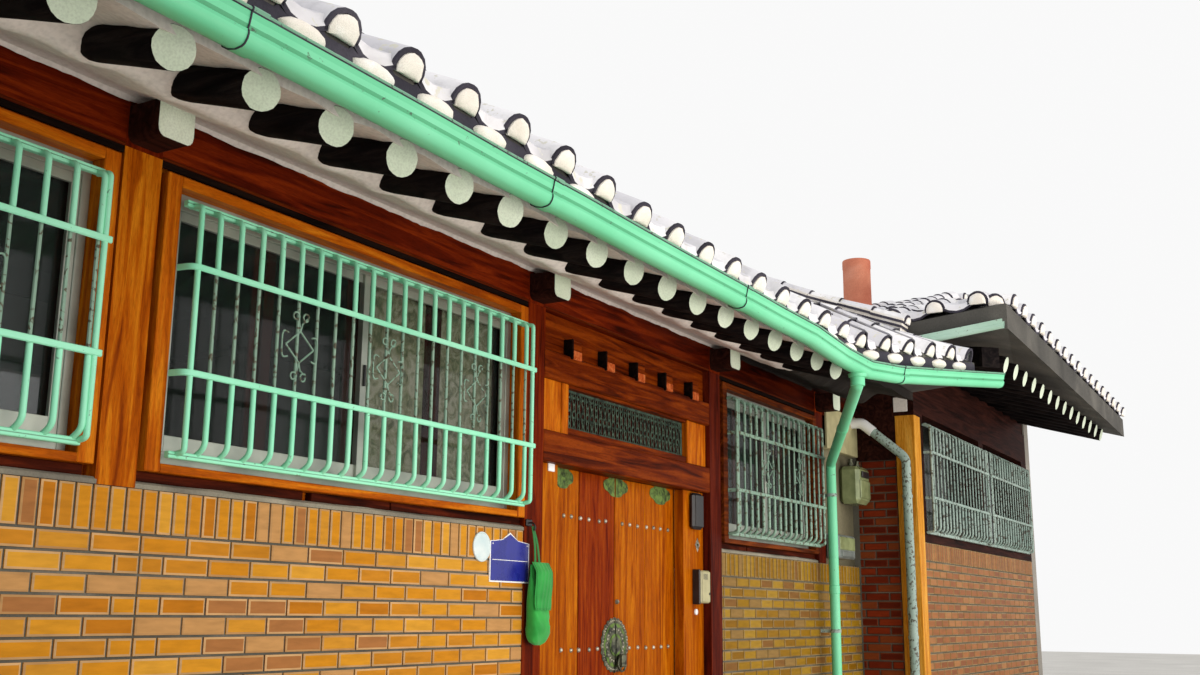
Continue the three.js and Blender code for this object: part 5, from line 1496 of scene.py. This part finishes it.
def leaf_plate(shape, a, b, limits):
    """A cut-out plate with four lobes and a raised middle, as far as it lies on its leaf."""
    centre = (a + b) / 2
    wide = (b - a) / 2
    tall = 0.054
    outline = []
    for t in turns(48):
        swell = 1 + 0.13 * math.cos(4 * t)
        x = wide * 0.88 * swell * math.copysign(abs(math.cos(t)) ** 0.7, math.cos(t))
        z = tall * swell * math.copysign(abs(math.sin(t)) ** 0.7, math.sin(t))
        outline.append((min(max(centre + x, limits[0]), limits[1]), PLATE_MIDDLE + z))
    face = LEAF_FRONT - 0.003
    plate(shape, outline, face, LEAF_FRONT + 0.001, GREEN)
    for s, t in ((-0.45, 0.4), (0.45, 0.4), (-0.45, -0.4), (0.45, -0.4), (0, 0)):
        x = centre + s * wide
        if limits[0] + 0.018 < x < limits[1] - 0.018:
            shape.spun((x, face, PLATE_MIDDLE + t * tall), BOSS, 12, GREEN)


MEDALLION = (6.350, 1.240)
# Its plates as radius, number of lobes and their depth, reach out of and into the leaf's face, and material
MEDALLION_PLATES = ((0.150, 24, 0.07, 0.004, 0.001, IRON),
                    (0.118, 24, 0.02, 0.006, 0.0, GREEN),
                    (0.108, 12, 0.16, 0.008, 0.0, IRON),
                    (0.060, 12, 0.02, 0.011, 0.0, GREEN),
                    (0.048, 8, 0.12, 0.013, 0.0, IRON))
# Its rings of beads as radius, number in half a turn and size
MEDALLION_BEADS = ((0.133, 24, 0.0055), (0.086, 12, 0.007))


def half_medallion(shape, side):
    """Scalloped round plate, halved on the gate's seam, with rings of beads and a pull ring on the right."""
    x, z = MEDALLION
    front = LEAF_FRONT
    middle = math.pi / 2 if side == "left" else -math.pi / 2
    seam = x - 0.005 if side == "left" else x + 0.005
    for radius, lobes, depth, proud, sunk, kind in MEDALLION_PLATES:
        outline = []
        for a in steps(middle, middle + math.pi, 60):
            reach = radius * (1 - depth + depth * abs(math.cos(lobes * a / 2)))
            outline.append((seam + reach * math.cos(a), z + reach * math.sin(a)))
        plate(shape, outline, front - proud, front + sunk, kind)
    for radius, count, bead in MEDALLION_BEADS:
        for i in range(count):
            a = middle + math.pi * (i + 0.5) / count
            place = (seam + radius * math.cos(a), front - 0.004, z + radius * math.sin(a))
            shape.spun(place, [(0, bead), (0.004, bead * 0.8), (0.007, bead * 0.3)], 8, STEEL)
    if side == "right":
        hang = Vector((x + 0.045, front - 0.020, z - 0.060))
        shape.tube([hang + Vector((0, 0.02, 0)), hang + Vector((0, -0.004, 0))], [0.012, 0.009], 12, IRON)
        ring = [hang + Vector((0.042 * math.sin(a), -0.006, -0.040 + 0.042 * math.cos(a))) for a in turns(28)]
        shape.tube(ring + [ring[0]], 0.006, 10, IRON)
        shape.block((x + 0.012, front - 0.050, z - 0.120), (x + 0.062, front - 0.016, z - 0.050), IRON, 0.006)
        shape.spun((x + 0.022, front, z + 0.235), [(0, 0.014), (0.010, 0.013), (0.016, 0.008)], 14, STEEL)


TENON_MIDDLE = 6.415
TENON_PITCH = 0.359

# Outline round a leaf's pin, from it in X and Y, of the block whose hole takes the pin
SOCKET_RING = [(-0.060, -0.0315), (0, -0.0315), (0.060, -0.0315), (0.060, 0), (0.060, 0.0385), (0, 0.0385),
               (-0.060, 0.0385), (-0.060, 0)]


def make_gate_head():
    """Frame over the leaves: lintel and beam, stiles beside the lattice, tenons and the leaves' sockets."""
    shape = Shape()
    low, high = span("gate_head")
    x0, x1 = low.x, high.x
    left, right = 5.670, 7.085
    lintel_top, beam_foot = 2.318, 2.592
    for a, b, front, foot, head, kind, edge in (
            (x0, x1, 0.0, 2.160, 2.320, 0, 0.006),
            (x0, x1, 0.0, 2.590, 2.735, 0, 0.006),
            (x0, x1, 0.045, 2.733, BEAM_LOW - SEAT, 0, 0.002),
            (x0, left - 0.066, 0.030, lintel_top, beam_foot, 2, 0.002),
            (left - 0.064, left, 0.022, lintel_top, beam_foot, 2, 0.004),
            (right, right + 0.055, 0.022, lintel_top, beam_foot, 2, 0.004),
            (right + 0.057, x1, 0.030, lintel_top, beam_foot, 2, 0.002),
            (left, right, 0.030, lintel_top, 2.362, 0, 0.003),
            (left, right, 0.030, 2.575, beam_foot, 0, 0.002)):
        shape.block((a, front, foot), (b, 0.115, head), kind, edge)
    for i in range(-2, 3):
        # Each tenon: its lower front in a lighter orange wood as painted light, its upper part in the head's
        # dark wood as painted shade, and a near-black strip on its left side as painted shadow.
        x = TENON_MIDDLE + i * TENON_PITCH
        shape.block((x - 0.036, -0.010, 2.724), (x + 0.054, 0.046, 2.772), 3, 0.003)
        shape.block((x - 0.038, -0.008, 2.770), (x + 0.054, 0.046, 2.826), 0, 0.005)
        shape.block((x - 0.050, -0.012, 2.722), (x - 0.035, 0.046, 2.830), 1, 0.003)
    pin_y = (LEAF_FRONT + LEAF_BACK) / 2
    for x in (LEAF["left"][0] + PIN_INSET, LEAF["right"][1] - PIN_INSET):
        rows = [[Vector((x + dx * s, pin_y + dy * s, z)) for dx, dy in SOCKET_RING] for s, z in
                ((1, 2.1935), (1, 2.263), (0.2, 2.263), (0.2, 2.1935))]
        shape.weave(rows + [rows[0]], 0, ring=True, soft=False)
    shape.piece("gate_head_timbers", [gate_wood, painted_shadow_wood, casing_upright, lit_tenon_wood],
                replaces=["gate_head"])


def make_transom():
    """Pierced metal panel: uprights woven with slanting strips in a thin frame."""
    shape = Shape()
    low, high = span("gate_transom_lattice")
    x0, x1, z0, z1 = low.x, high.x, low.z, high.z
    y = low.y
    frame_members(shape, (x0, x1), (z0, z1), (x0 + 0.014, x1 - 0.014), (z0 + 0.014, z1 - 0.014), (y, high.y),
                  (0, 0), 0.002)
    shape.block((x0 + 0.012, y + 0.010, z0 + 0.012), (x1 - 0.012, y + 0.0145, z1 - 0.012), 1)
    pitch = 0.0235
    count = int((x1 - x0 - 0.03) / pitch)
    uprights = steps(x0 + 0.018, x1 - 0.018, count)
    for i, x in enumerate(uprights):
        wave = [(x + 0.0045 * math.sin(12.6 * s + i * math.pi), y + 0.006, z0 + 0.013 + s * (z1 - z0 - 0.026))
                for s in steps(0, 1, 12)]
        shape.tube(wave, 0.0032, 6, 0, chance.random())
    for x in uprights[:-1:2]:
        for z in steps(z0 + 0.035, z1 - 0.035, 4):
            shape.spun((x + pitch / 2, y + 0.009, z), [(0, 0.009), (0.003, 0.008), (0.006, 0.004)], 8, kind=0)
    shape.piece("gate_transom_panel", [patina_lattice, dark_wood], replaces=["gate_transom_lattice"])


def make_gate():
    make_leaf("left")
    make_leaf("right")
    make_gate_head()
    make_transom()
    dress(plank_wood, "gate_jamb_left", "gate_jamb_right", bevel=0.004)
    dress(frame_wood, "gate_threshold", bevel=0.004)


# Small fittings

def make_plaque():
    """Round pale disc beside the gate."""
    shape = Shape()
    profile = [(0, 0.068), (0.006, 0.069), (0.009, 0.067), (0.010, 0.062), (0.0085, 0.060), (0.009, 0.050),
               (0.010, 0.020), (0.010, 0.004)]
    shape.spun((4.878, 0.002, 1.705), profile, 40)
    shape.piece("round_plaque", [pale_blue])


def make_number_plate():
    """Blue enamel plate with a pale border and a gabled top, left bare."""
    shape = Shape()

    def outline(inset):
        x0, x1 = 4.945 + inset, 5.275 - inset
        z0, z1 = 1.548 + inset, 1.737 - inset * 0.4
        apex = 1.782 - inset * 1.15
        return [(x0, z0), (x1, z0), (x1, z1), (5.175, z1 + 0.010), ((x0 + x1) / 2, apex), (5.045, z1 + 0.010),
                (x0, z1)]

    plate(shape, outline(0), -0.004, 0.002, 1)
    plate(shape, outline(0.007), -0.0055, 0.0, 0)
    shape.block((4.962, -0.0065, 1.6495), (5.258, -0.004, 1.6525), 1)
    for x in (4.965, 5.255):
        shape.spun((x, -0.0055, 1.725), [(0, 0.004), (0.0015, 0.003)], 10, kind=1)
    shape.piece("number_plate", [blue_enamel, white_enamel])


def make_intercom():
    """Intercom, bell button, closer box, lock plate and a small label beside the gate."""
    shape = Shape()
    shape.block((7.222, 0.000, 1.478), (7.345, 0.056, 1.675), 0, 0.008)
    shape.block((7.229, -0.004, 1.485), (7.338, 0.001, 1.668), 0, 0.003)
    shape.block((7.206, 0.006, 1.470), (7.223, 0.056, 1.682), 1, 0.004)
    for i in range(6):
        shape.block((7.240, -0.0052, 1.622 + 0.006 * i), (7.300, -0.0036, 1.625 + 0.006 * i), 1)
    shape.spun((7.325, -0.003, 1.535), [(0, 0.008), (0.004, 0.007)], 16, kind=1)
    shape.piece("intercom", [beige_plastic, black_plastic])

    shape = Shape()
    shape.spun((7.246, 0.056, 1.425), [(0, 0.019), (0.010, 0.018), (0.013, 0.010), (0.014, 0.004)], 20)
    shape.piece("bell_button", [white_enamel])

    blocks("door_closer_box", [black_plastic], ((7.158, 0.012, 1.925), (7.292, 0.056, 2.150), 0, 0.018),
           ((7.172, 0.008, 1.940), (7.278, 0.013, 2.135), 0, 0.003))

    shape = Shape()
    plate(shape, [(7.245, 1.833), (7.275, 1.790), (7.305, 1.833), (7.275, 1.876)], 0.051, 0.056)
    shape.spun((7.275, 0.052, 1.833), [(0, 0.009), (0.004, 0.008), (0.005, 0.004)], 14, kind=1)
    shape.piece("lock_escutcheon", [stud_metal, patina_iron])

    blocks("jamb_label", [white_enamel], ((5.522, 0.046, 2.121), (5.582, 0.056, 2.168), 0, 0.003))


def make_boxes():
    """Board, gas meter and switch box in the narrow bay."""
    blocks("bay_board", [beige_plastic], ((9.475, -0.020, 2.690), (10.190, 0.0, 3.020), 0, 0.003),
           ((9.475, 0.0, 2.690), (10.190, 0.040, 2.712), 0, 0.002))

    shape = Shape()
    shape.block((9.870, -0.130, 2.290), (10.150, 0.039, 2.590), 0, 0.030)
    shape.block((9.895, -0.140, 2.330), (10.125, -0.125, 2.480), 0, 0.008)
    shape.block((9.930, -0.1445, 2.500), (10.090, -0.128, 2.550), 1, 0.004)
    for x in (9.930, 10.090):
        shape.tube([(x, -0.045, 2.585), (x, -0.045, 2.650)], 0.016, 14, 2)
        shape.spun((x, -0.045, 2.600), [(0, 0.024), (0.022, 0.024)], 6, kind=2, axis="Z")
    shape.piece("gas_meter", [meter_glass, black_plastic, patina_iron])

    blocks("water_heater_box", [meter_grey, meter_glass],
           ((9.420, -0.105, 1.840), (9.800, 0.0, 2.020), 0, 0.012),
           ((9.440, -0.112, 1.905), (9.780, -0.100, 2.005), 1, 0.006),
           ((9.480, -0.116, 1.855), (9.740, -0.100, 1.895), 0, 0.004),
           ((9.440, -0.003, 2.018), (9.780, 0.039, 2.030), 0, 0.002))


# The pouch's sides, its foot and mouth, and the plane in its middle that it swells from
BAG_X = (5.226, 5.366)
BAG_Z = (1.258, 1.636)
BAG_Y = -0.046


def make_bag():
    """Slack flat pouch with a flap, hung on two straps from a hook."""
    shape = Shape()
    middle = (BAG_X[0] + BAG_X[1]) / 2
    half = (BAG_X[1] - BAG_X[0]) / 2
    rows = []
    for s in steps(0, 1, 26):
        z = BAG_Z[0] + s * (BAG_Z[1] - BAG_Z[0])
        round_foot = math.sqrt(max(0.0, 1 - max(0.0, 1 - s / 0.13) ** 2))
        wide = half * (0.30 + 0.70 * round_foot) * (1 - 0.05 * math.sin(math.pi * s) * (s > 0.2))
        belly = 0.026 * math.sin(math.pi * min(1, 0.15 + s)) ** 0.8
        sag = 0.007 * math.exp(-((s - 0.18) / 0.10) ** 2)
        thick = (0.010 + belly + sag) * (0.35 + 0.65 * round_foot)
        ring = []
        for t in turns(40):
            c, sn = math.cos(t), math.sin(t)
            x = middle + wide * math.copysign(abs(c) ** 0.45, c) + 0.004 * math.sin(7 * s)
            bulge = thick * math.copysign(abs(sn) ** 0.75, sn)
            crease = 0.0022 * math.sin(31 * s + 9 * c) + 0.0016 * math.sin(57 * s - 5 * c)
            ring.append(Vector((x, BAG_Y - bulge + crease * (sn > 0), z)))
        rows.append(ring)
    shape.loft(rows, 0)
    flap = []
    for s in steps(0, 1, 18):
        z = 1.648 - 0.226 * s
        out = 0.016 + 0.030 * min(1, s * 5) + 0.003 * math.sin(5 * s)
        edge = 1.0 if s < 0.8 else 1 - 0.10 * ((s - 0.8) / 0.2) ** 2
        flap.append([Vector((middle + (half + 0.004) * edge * u, BAG_Y - out * (1 - 0.25 * abs(u) ** 3)
                             + 0.0018 * math.sin(16 * u + 7 * s), z)) for u in steps(-1, 1, 20)])
    back = [[p + Vector((0, 0.0025, 0)) for p in row] for row in flap]
    shell(shape, flap, back, 1)
    for column in (1, -2):
        shape.tube([row[column] + Vector((0, -0.0006, 0)) for row in flap], 0.0011, 5, 2)
    shape.tube([p + Vector((0, -0.0006, 0.006)) for p in flap[-1]], 0.0011, 5, 2)
    bag = shape.piece("bag_pouch", [bag_cloth, bag_flap, bag_dark], replaces=["delivery_bag"])

    shape = Shape()
    hook = 5.264
    edge, thin = 0.008, 0.0012
    webbing = [Vector((a, b, 0)) for a, b in ((-edge, -thin), (edge, -thin), (edge, thin), (-edge, thin))]
    for x in (5.262, 5.300):
        off = x - 5.28
        path = [(x, -0.050, 1.635), (5.272 + off * 0.6, -0.046, 1.74), (hook + off * 0.15, -0.030, 1.822)]
        shape.loft([[p + corner for corner in webbing] for p in rounded_path(path, 0.05)])
    bent = [(hook, 0.004, 1.838), (hook, -0.034, 1.838), (hook, -0.046, 1.815), (hook, -0.040, 1.800)]
    shape.tube(rounded_path(bent, 0.012), 0.0045, 10, 1)
    shape.block((5.240, -0.012, 1.822), (5.290, 0.0, 1.856), 1, 0.004)
    shape.piece("bag_strap", [bag_dark, black_plastic])


def make_chimney():
    """Clay pipe, open at its mouth, with a collar of plaster at its foot."""
    shape = Shape()
    low, high = span("chimney")
    foot = Vector(((low.x + high.x) / 2, (low.y + high.y) / 2, low.z))
    radius = (high.x - low.x) / 2
    tall = high.z - low.z
    girths = ((0, 1), (0.15, 0.985), (tall - 0.20, 0.975), (tall - 0.085, 0.975), (tall - 0.080, 1),
              (tall - 0.010, 1), (tall, 0.97), (tall, 0.84), (tall - 0.02, 0.82), (tall - 0.30, 0.82))
    profile = [(height, radius * girth) for height, girth in girths]
    shape.spun(foot, profile, 40, axis="Z")
    collar = [(0.0, radius + 0.030), (0.045, radius + 0.022), (0.065, radius + 0.008), (0.070, radius)]
    shape.spun(foot, collar, 28, kind=1, axis="Z")
    shape.piece("chimney_pipe", [terracotta, cream_plaster], replaces=["chimney"])


def make_sills():
    """Cement fillet on the bricks and the dark timber above it."""
    foot = DADO_TOP + SEAT
    for i, (a, b) in enumerate(((0.2353, 5.2347), (7.5203, 9.2650))):
        shape = Shape()
        rows = []
        for x in steps(a, b, 90):
            skin = 0.002 + 0.6 * uneven(x, 2)
            section = ((skin, foot), (0.058, foot), (0.058, 1.8245), (0.030, 1.826),
                       (skin + 0.008, 1.8215 + 0.4 * uneven(x, 5)), (skin, 1.815))
            rows.append([Vector((x, y, z)) for y, z in section])
        shape.loft(rows)
        shape.piece(f"sill_cement_{i + 1}", [cement])
    shape = Shape()
    for a, b in ((0.3955, 2.7345), (2.8955, 5.2345), (7.5205, 9.2645)):
        x = a
        while x < b - 0.01:
            stop = min(b, x + chance.uniform(0.35, 1.1))
            front = 0.020 + chance.uniform(0, 0.008)
            shape.block((x, front, 1.826), (stop - 0.002, 0.0598, 1.860 - SEAT), 0, 0.002)
            x = stop + (0.05 if chance.random() < 0.35 else 0.0)
    shape.piece("sill_boards", [sill_wood])


def make_return_bricks():
    """Red bricks on the wall that steps from the range out to the wing's corner post."""
    low, high = span("return_wall")
    shape = Shape()
    courses = 40
    top = 2.660
    start = WING_FRONT + POST + SEAT

    def place(along, out, up):
        return Vector((WING_LEFT + out, along, up))

    for course in range(courses):
        z0 = course * top / courses + JOINT / 2
        z1 = (course + 1) * top / courses - JOINT / 2
        edges = [start, -0.240, -0.040, -0.0005] if course % 2 else [start, -0.140, -0.0005]
        for a, b in zip(edges, edges[1:]):
            brick_face(shape, a + JOINT / 2, b - JOINT / 2, z0, z1, place, chance.random())
    shape.block((WING_LEFT + MORTAR_DEPTH, low.y, 0), (high.x, -SEAT, high.z), 2)
    shape.block((WING_LEFT, -0.010, 0), (high.x, POST, BEAM_LOW - SEAT), 2)
    shape.block((WING_LEFT, low.y, top), (WING_LEFT + 0.009, -SEAT, high.z), 3)
    shape.piece("return_wall_bricks", [red_brick, red_edge, mortar, dark_wood], replaces=["return_wall"])


def make_beam_ends():
    """The cross beams' ends, trim on the top beam, the wing's beam end and the corner post's boards."""
    shape = Shape()
    corner = [(1, 0.128), (1, 0.034), (0.95, 0.017), (0.84, 0.006), (0.68, 0.0)]
    section = corner + [(-side, up) for side, up in reversed(corner)]
    half = 0.064
    for x in BEAM_END_X:
        middle = Vector((x, 0, 2.960 + half))
        for kind, front, back, size in ((1, -0.1508, -0.0004, 1.008), (0, -0.1516, -0.1506, 1.0)):
            ring = [Vector((side * 0.076, 0, up - half)) * size + middle for side, up in section]
            shape.loft([[p + Vector((0, y, 0)) for p in ring] for y in (front, back)], kind, soft=False)
    shape.piece("beam_end_finish", [end_paint, dark_wood])

    shape = Shape()
    # The posts' heads take the darker red timber as painted shade under the eave.
    for x in BEAM_END_X:
        shape.block((x - 0.080, -0.0022, 2.9452), (x + 0.080, 0.012, 3.1100), 0, 0.002)
    for a, b in zip((HOUSE_LEFT + 0.203, *BEAM_END_X), (*BEAM_END_X, 9.425)):
        run = (a + 0.081, b - 0.081)
        shape.tube([(x, 0.004, 2.951) for x in run], 0.0065, 12, kind=1)
        # A black strip under the beam, between the posts: painted shadow in the gap over the casings.
        if a != BEAM_END_X[1]:
            shape.block((run[0], 0.002, 2.9200), (run[1], 0.010, 2.9446), 2, 0.001)
    shape.piece("beam_trim", [post_red, beam_edge, painted_shadow_wood])

    blocks("wing_beam_end", [white_plaster], ((10.195, -0.450, 3.050), (10.203, -0.335, 3.170), 0, 0.002))
    blocks("corner_post_boards", [corner_wood],
           ((10.1975, -0.5025, 0.001), (10.3625, -0.3405, 3.020), 0, 0.004))


def finish_timbers():
    dress(beam_wood, "top_beam", bevel=0.004)
    dress(post_wood, "post_1", "post_a", bevel=0.004)
    dress(post_red, "post_b", bevel=0.004)
    # Posts c and d take the dark timber as painted shade at the right end of the house.
    dress(post_dark, "post_c", "post_d", bevel=0.004)
    dress(dark_wood, "range_roof_frame", "wing_roof_frame", "wing_street_frame", "yard_frame", bevel=0.003)
    dress(white_plaster, "yard_infill", "wing_gable_street", "wing_gable_yard")
    dress(bay_plaster, "narrow_bay_panel")
    dress(grey_render, "party_wall_left", "party_wall_right")
    dress(floor_stone, "floor")
    dress(roof_bed, "range_roof_street", "range_roof_yard", "wing_roof")
    dress(pane_glass, "wing_glazing", "yard_glazing_left", "yard_glazing_right")


make_range_logs("range_logs_street", "rafters_street", on_street, LAST_STREET_LOG)
make_range_logs("range_logs_yard", "rafters_yard", on_yard, WING_EAVE.x)
make_wing_logs("wing_logs_street", "wing_rafters_street", on_street, valley_foot() - 0.100)
make_wing_logs("wing_logs_yard", "wing_rafters_yard", mirrored, mirrored(back_valley_foot()) - 0.100)
make_soffit("soffit_street", "eave_plaster_street", on_street, LAST_STREET_LOG + 0.060)
make_soffit("soffit_yard", "eave_plaster_yard", on_yard, span("eave_plaster_yard")[1].x)
make_range_roof()
make_wing_roof()
make_ridges()
make_rainwater()
make_windows()
make_gate()
make_sills()
make_return_bricks()
make_beam_ends()
make_plaque()
make_number_plate()
make_intercom()
make_boxes()
make_bag()
make_chimney()
finish_timbers()
make_brickwork()


# Stage, light and camera
STAND = Vector((0.0, -3.450, 1.400))
YAW = math.radians(59.911)
PITCH = math.radians(12.273)
ROLL = math.radians(0.443)
FOCAL_PIXELS = 1277.2
PHOTO_WIDTH = 1200


def make_camera():
    ahead = Vector((math.sin(YAW) * math.cos(PITCH), math.cos(YAW) * math.cos(PITCH), math.sin(PITCH)))
    level = Vector((math.cos(YAW), -math.sin(YAW), 0))
    lift = level.cross(ahead)
    across = level * math.cos(ROLL) + lift * math.sin(ROLL)
    up = lift * math.cos(ROLL) - level * math.sin(ROLL)
    data = bpy.data.cameras.new("camera")
    data.sensor_width = 36
    data.lens = 36 * FOCAL_PIXELS / PHOTO_WIDTH
    data.clip_end = 200
    camera = bpy.data.objects.new("camera", data)
    bpy.context.scene.collection.objects.link(camera)
    turn = Matrix((across, up, -ahead)).transposed().to_4x4()
    camera.matrix_world = Matrix.Translation(ORIGIN + STAND) @ turn
    bpy.context.scene.camera = camera


def make_light(name, place, aim, size, power, colour, spread=180):
    data = bpy.data.lights.new(name, "AREA")
    data.shape = "RECTANGLE"
    data.size, data.size_y = size
    data.energy = power
    data.spread = math.radians(spread)
    data.color = rgb(colour)[:3]
    lamp = bpy.data.objects.new(name, data)
    bpy.context.scene.collection.objects.link(lamp)
    lamp.location = Vector(place)
    lamp.rotation_mode = "QUATERNION"
    lamp.rotation_quaternion = (Vector(aim) - Vector(place)).to_track_quat("-Z", "Y")


def make_stage():
    shape = Shape()
    reach = 60
    shape.face([Vector((x * reach, y * reach, -0.001)) for x, y in ((-1, -1), (1, -1), (1, 1), (-1, 1))])
    ground = shape.piece("ground", [rendered("pale_ground", ("c9c6c0", "d2cfc9", "dad7d1"), 2, 0.001)])
    world = bpy.data.worlds.new("sky")
    world.use_nodes = True
    world.node_tree.nodes["Background"].inputs["Color"].default_value = (1, 1, 1, 1)
    world.node_tree.nodes["Background"].inputs["Strength"].default_value = 0.95
    bpy.context.scene.world = world
    bpy.context.scene.view_settings.view_transform = "Standard"
    make_light("street_light", (-3, -14, 7), (0, 0, 2), (14, 8), 380, "fff6e8")
    make_light("bounce_light", (3, -8, 1.3), (5, 0, 3.2), (16, 1.5), 270, "fff7ee", spread=120)


make_camera()
make_stage()
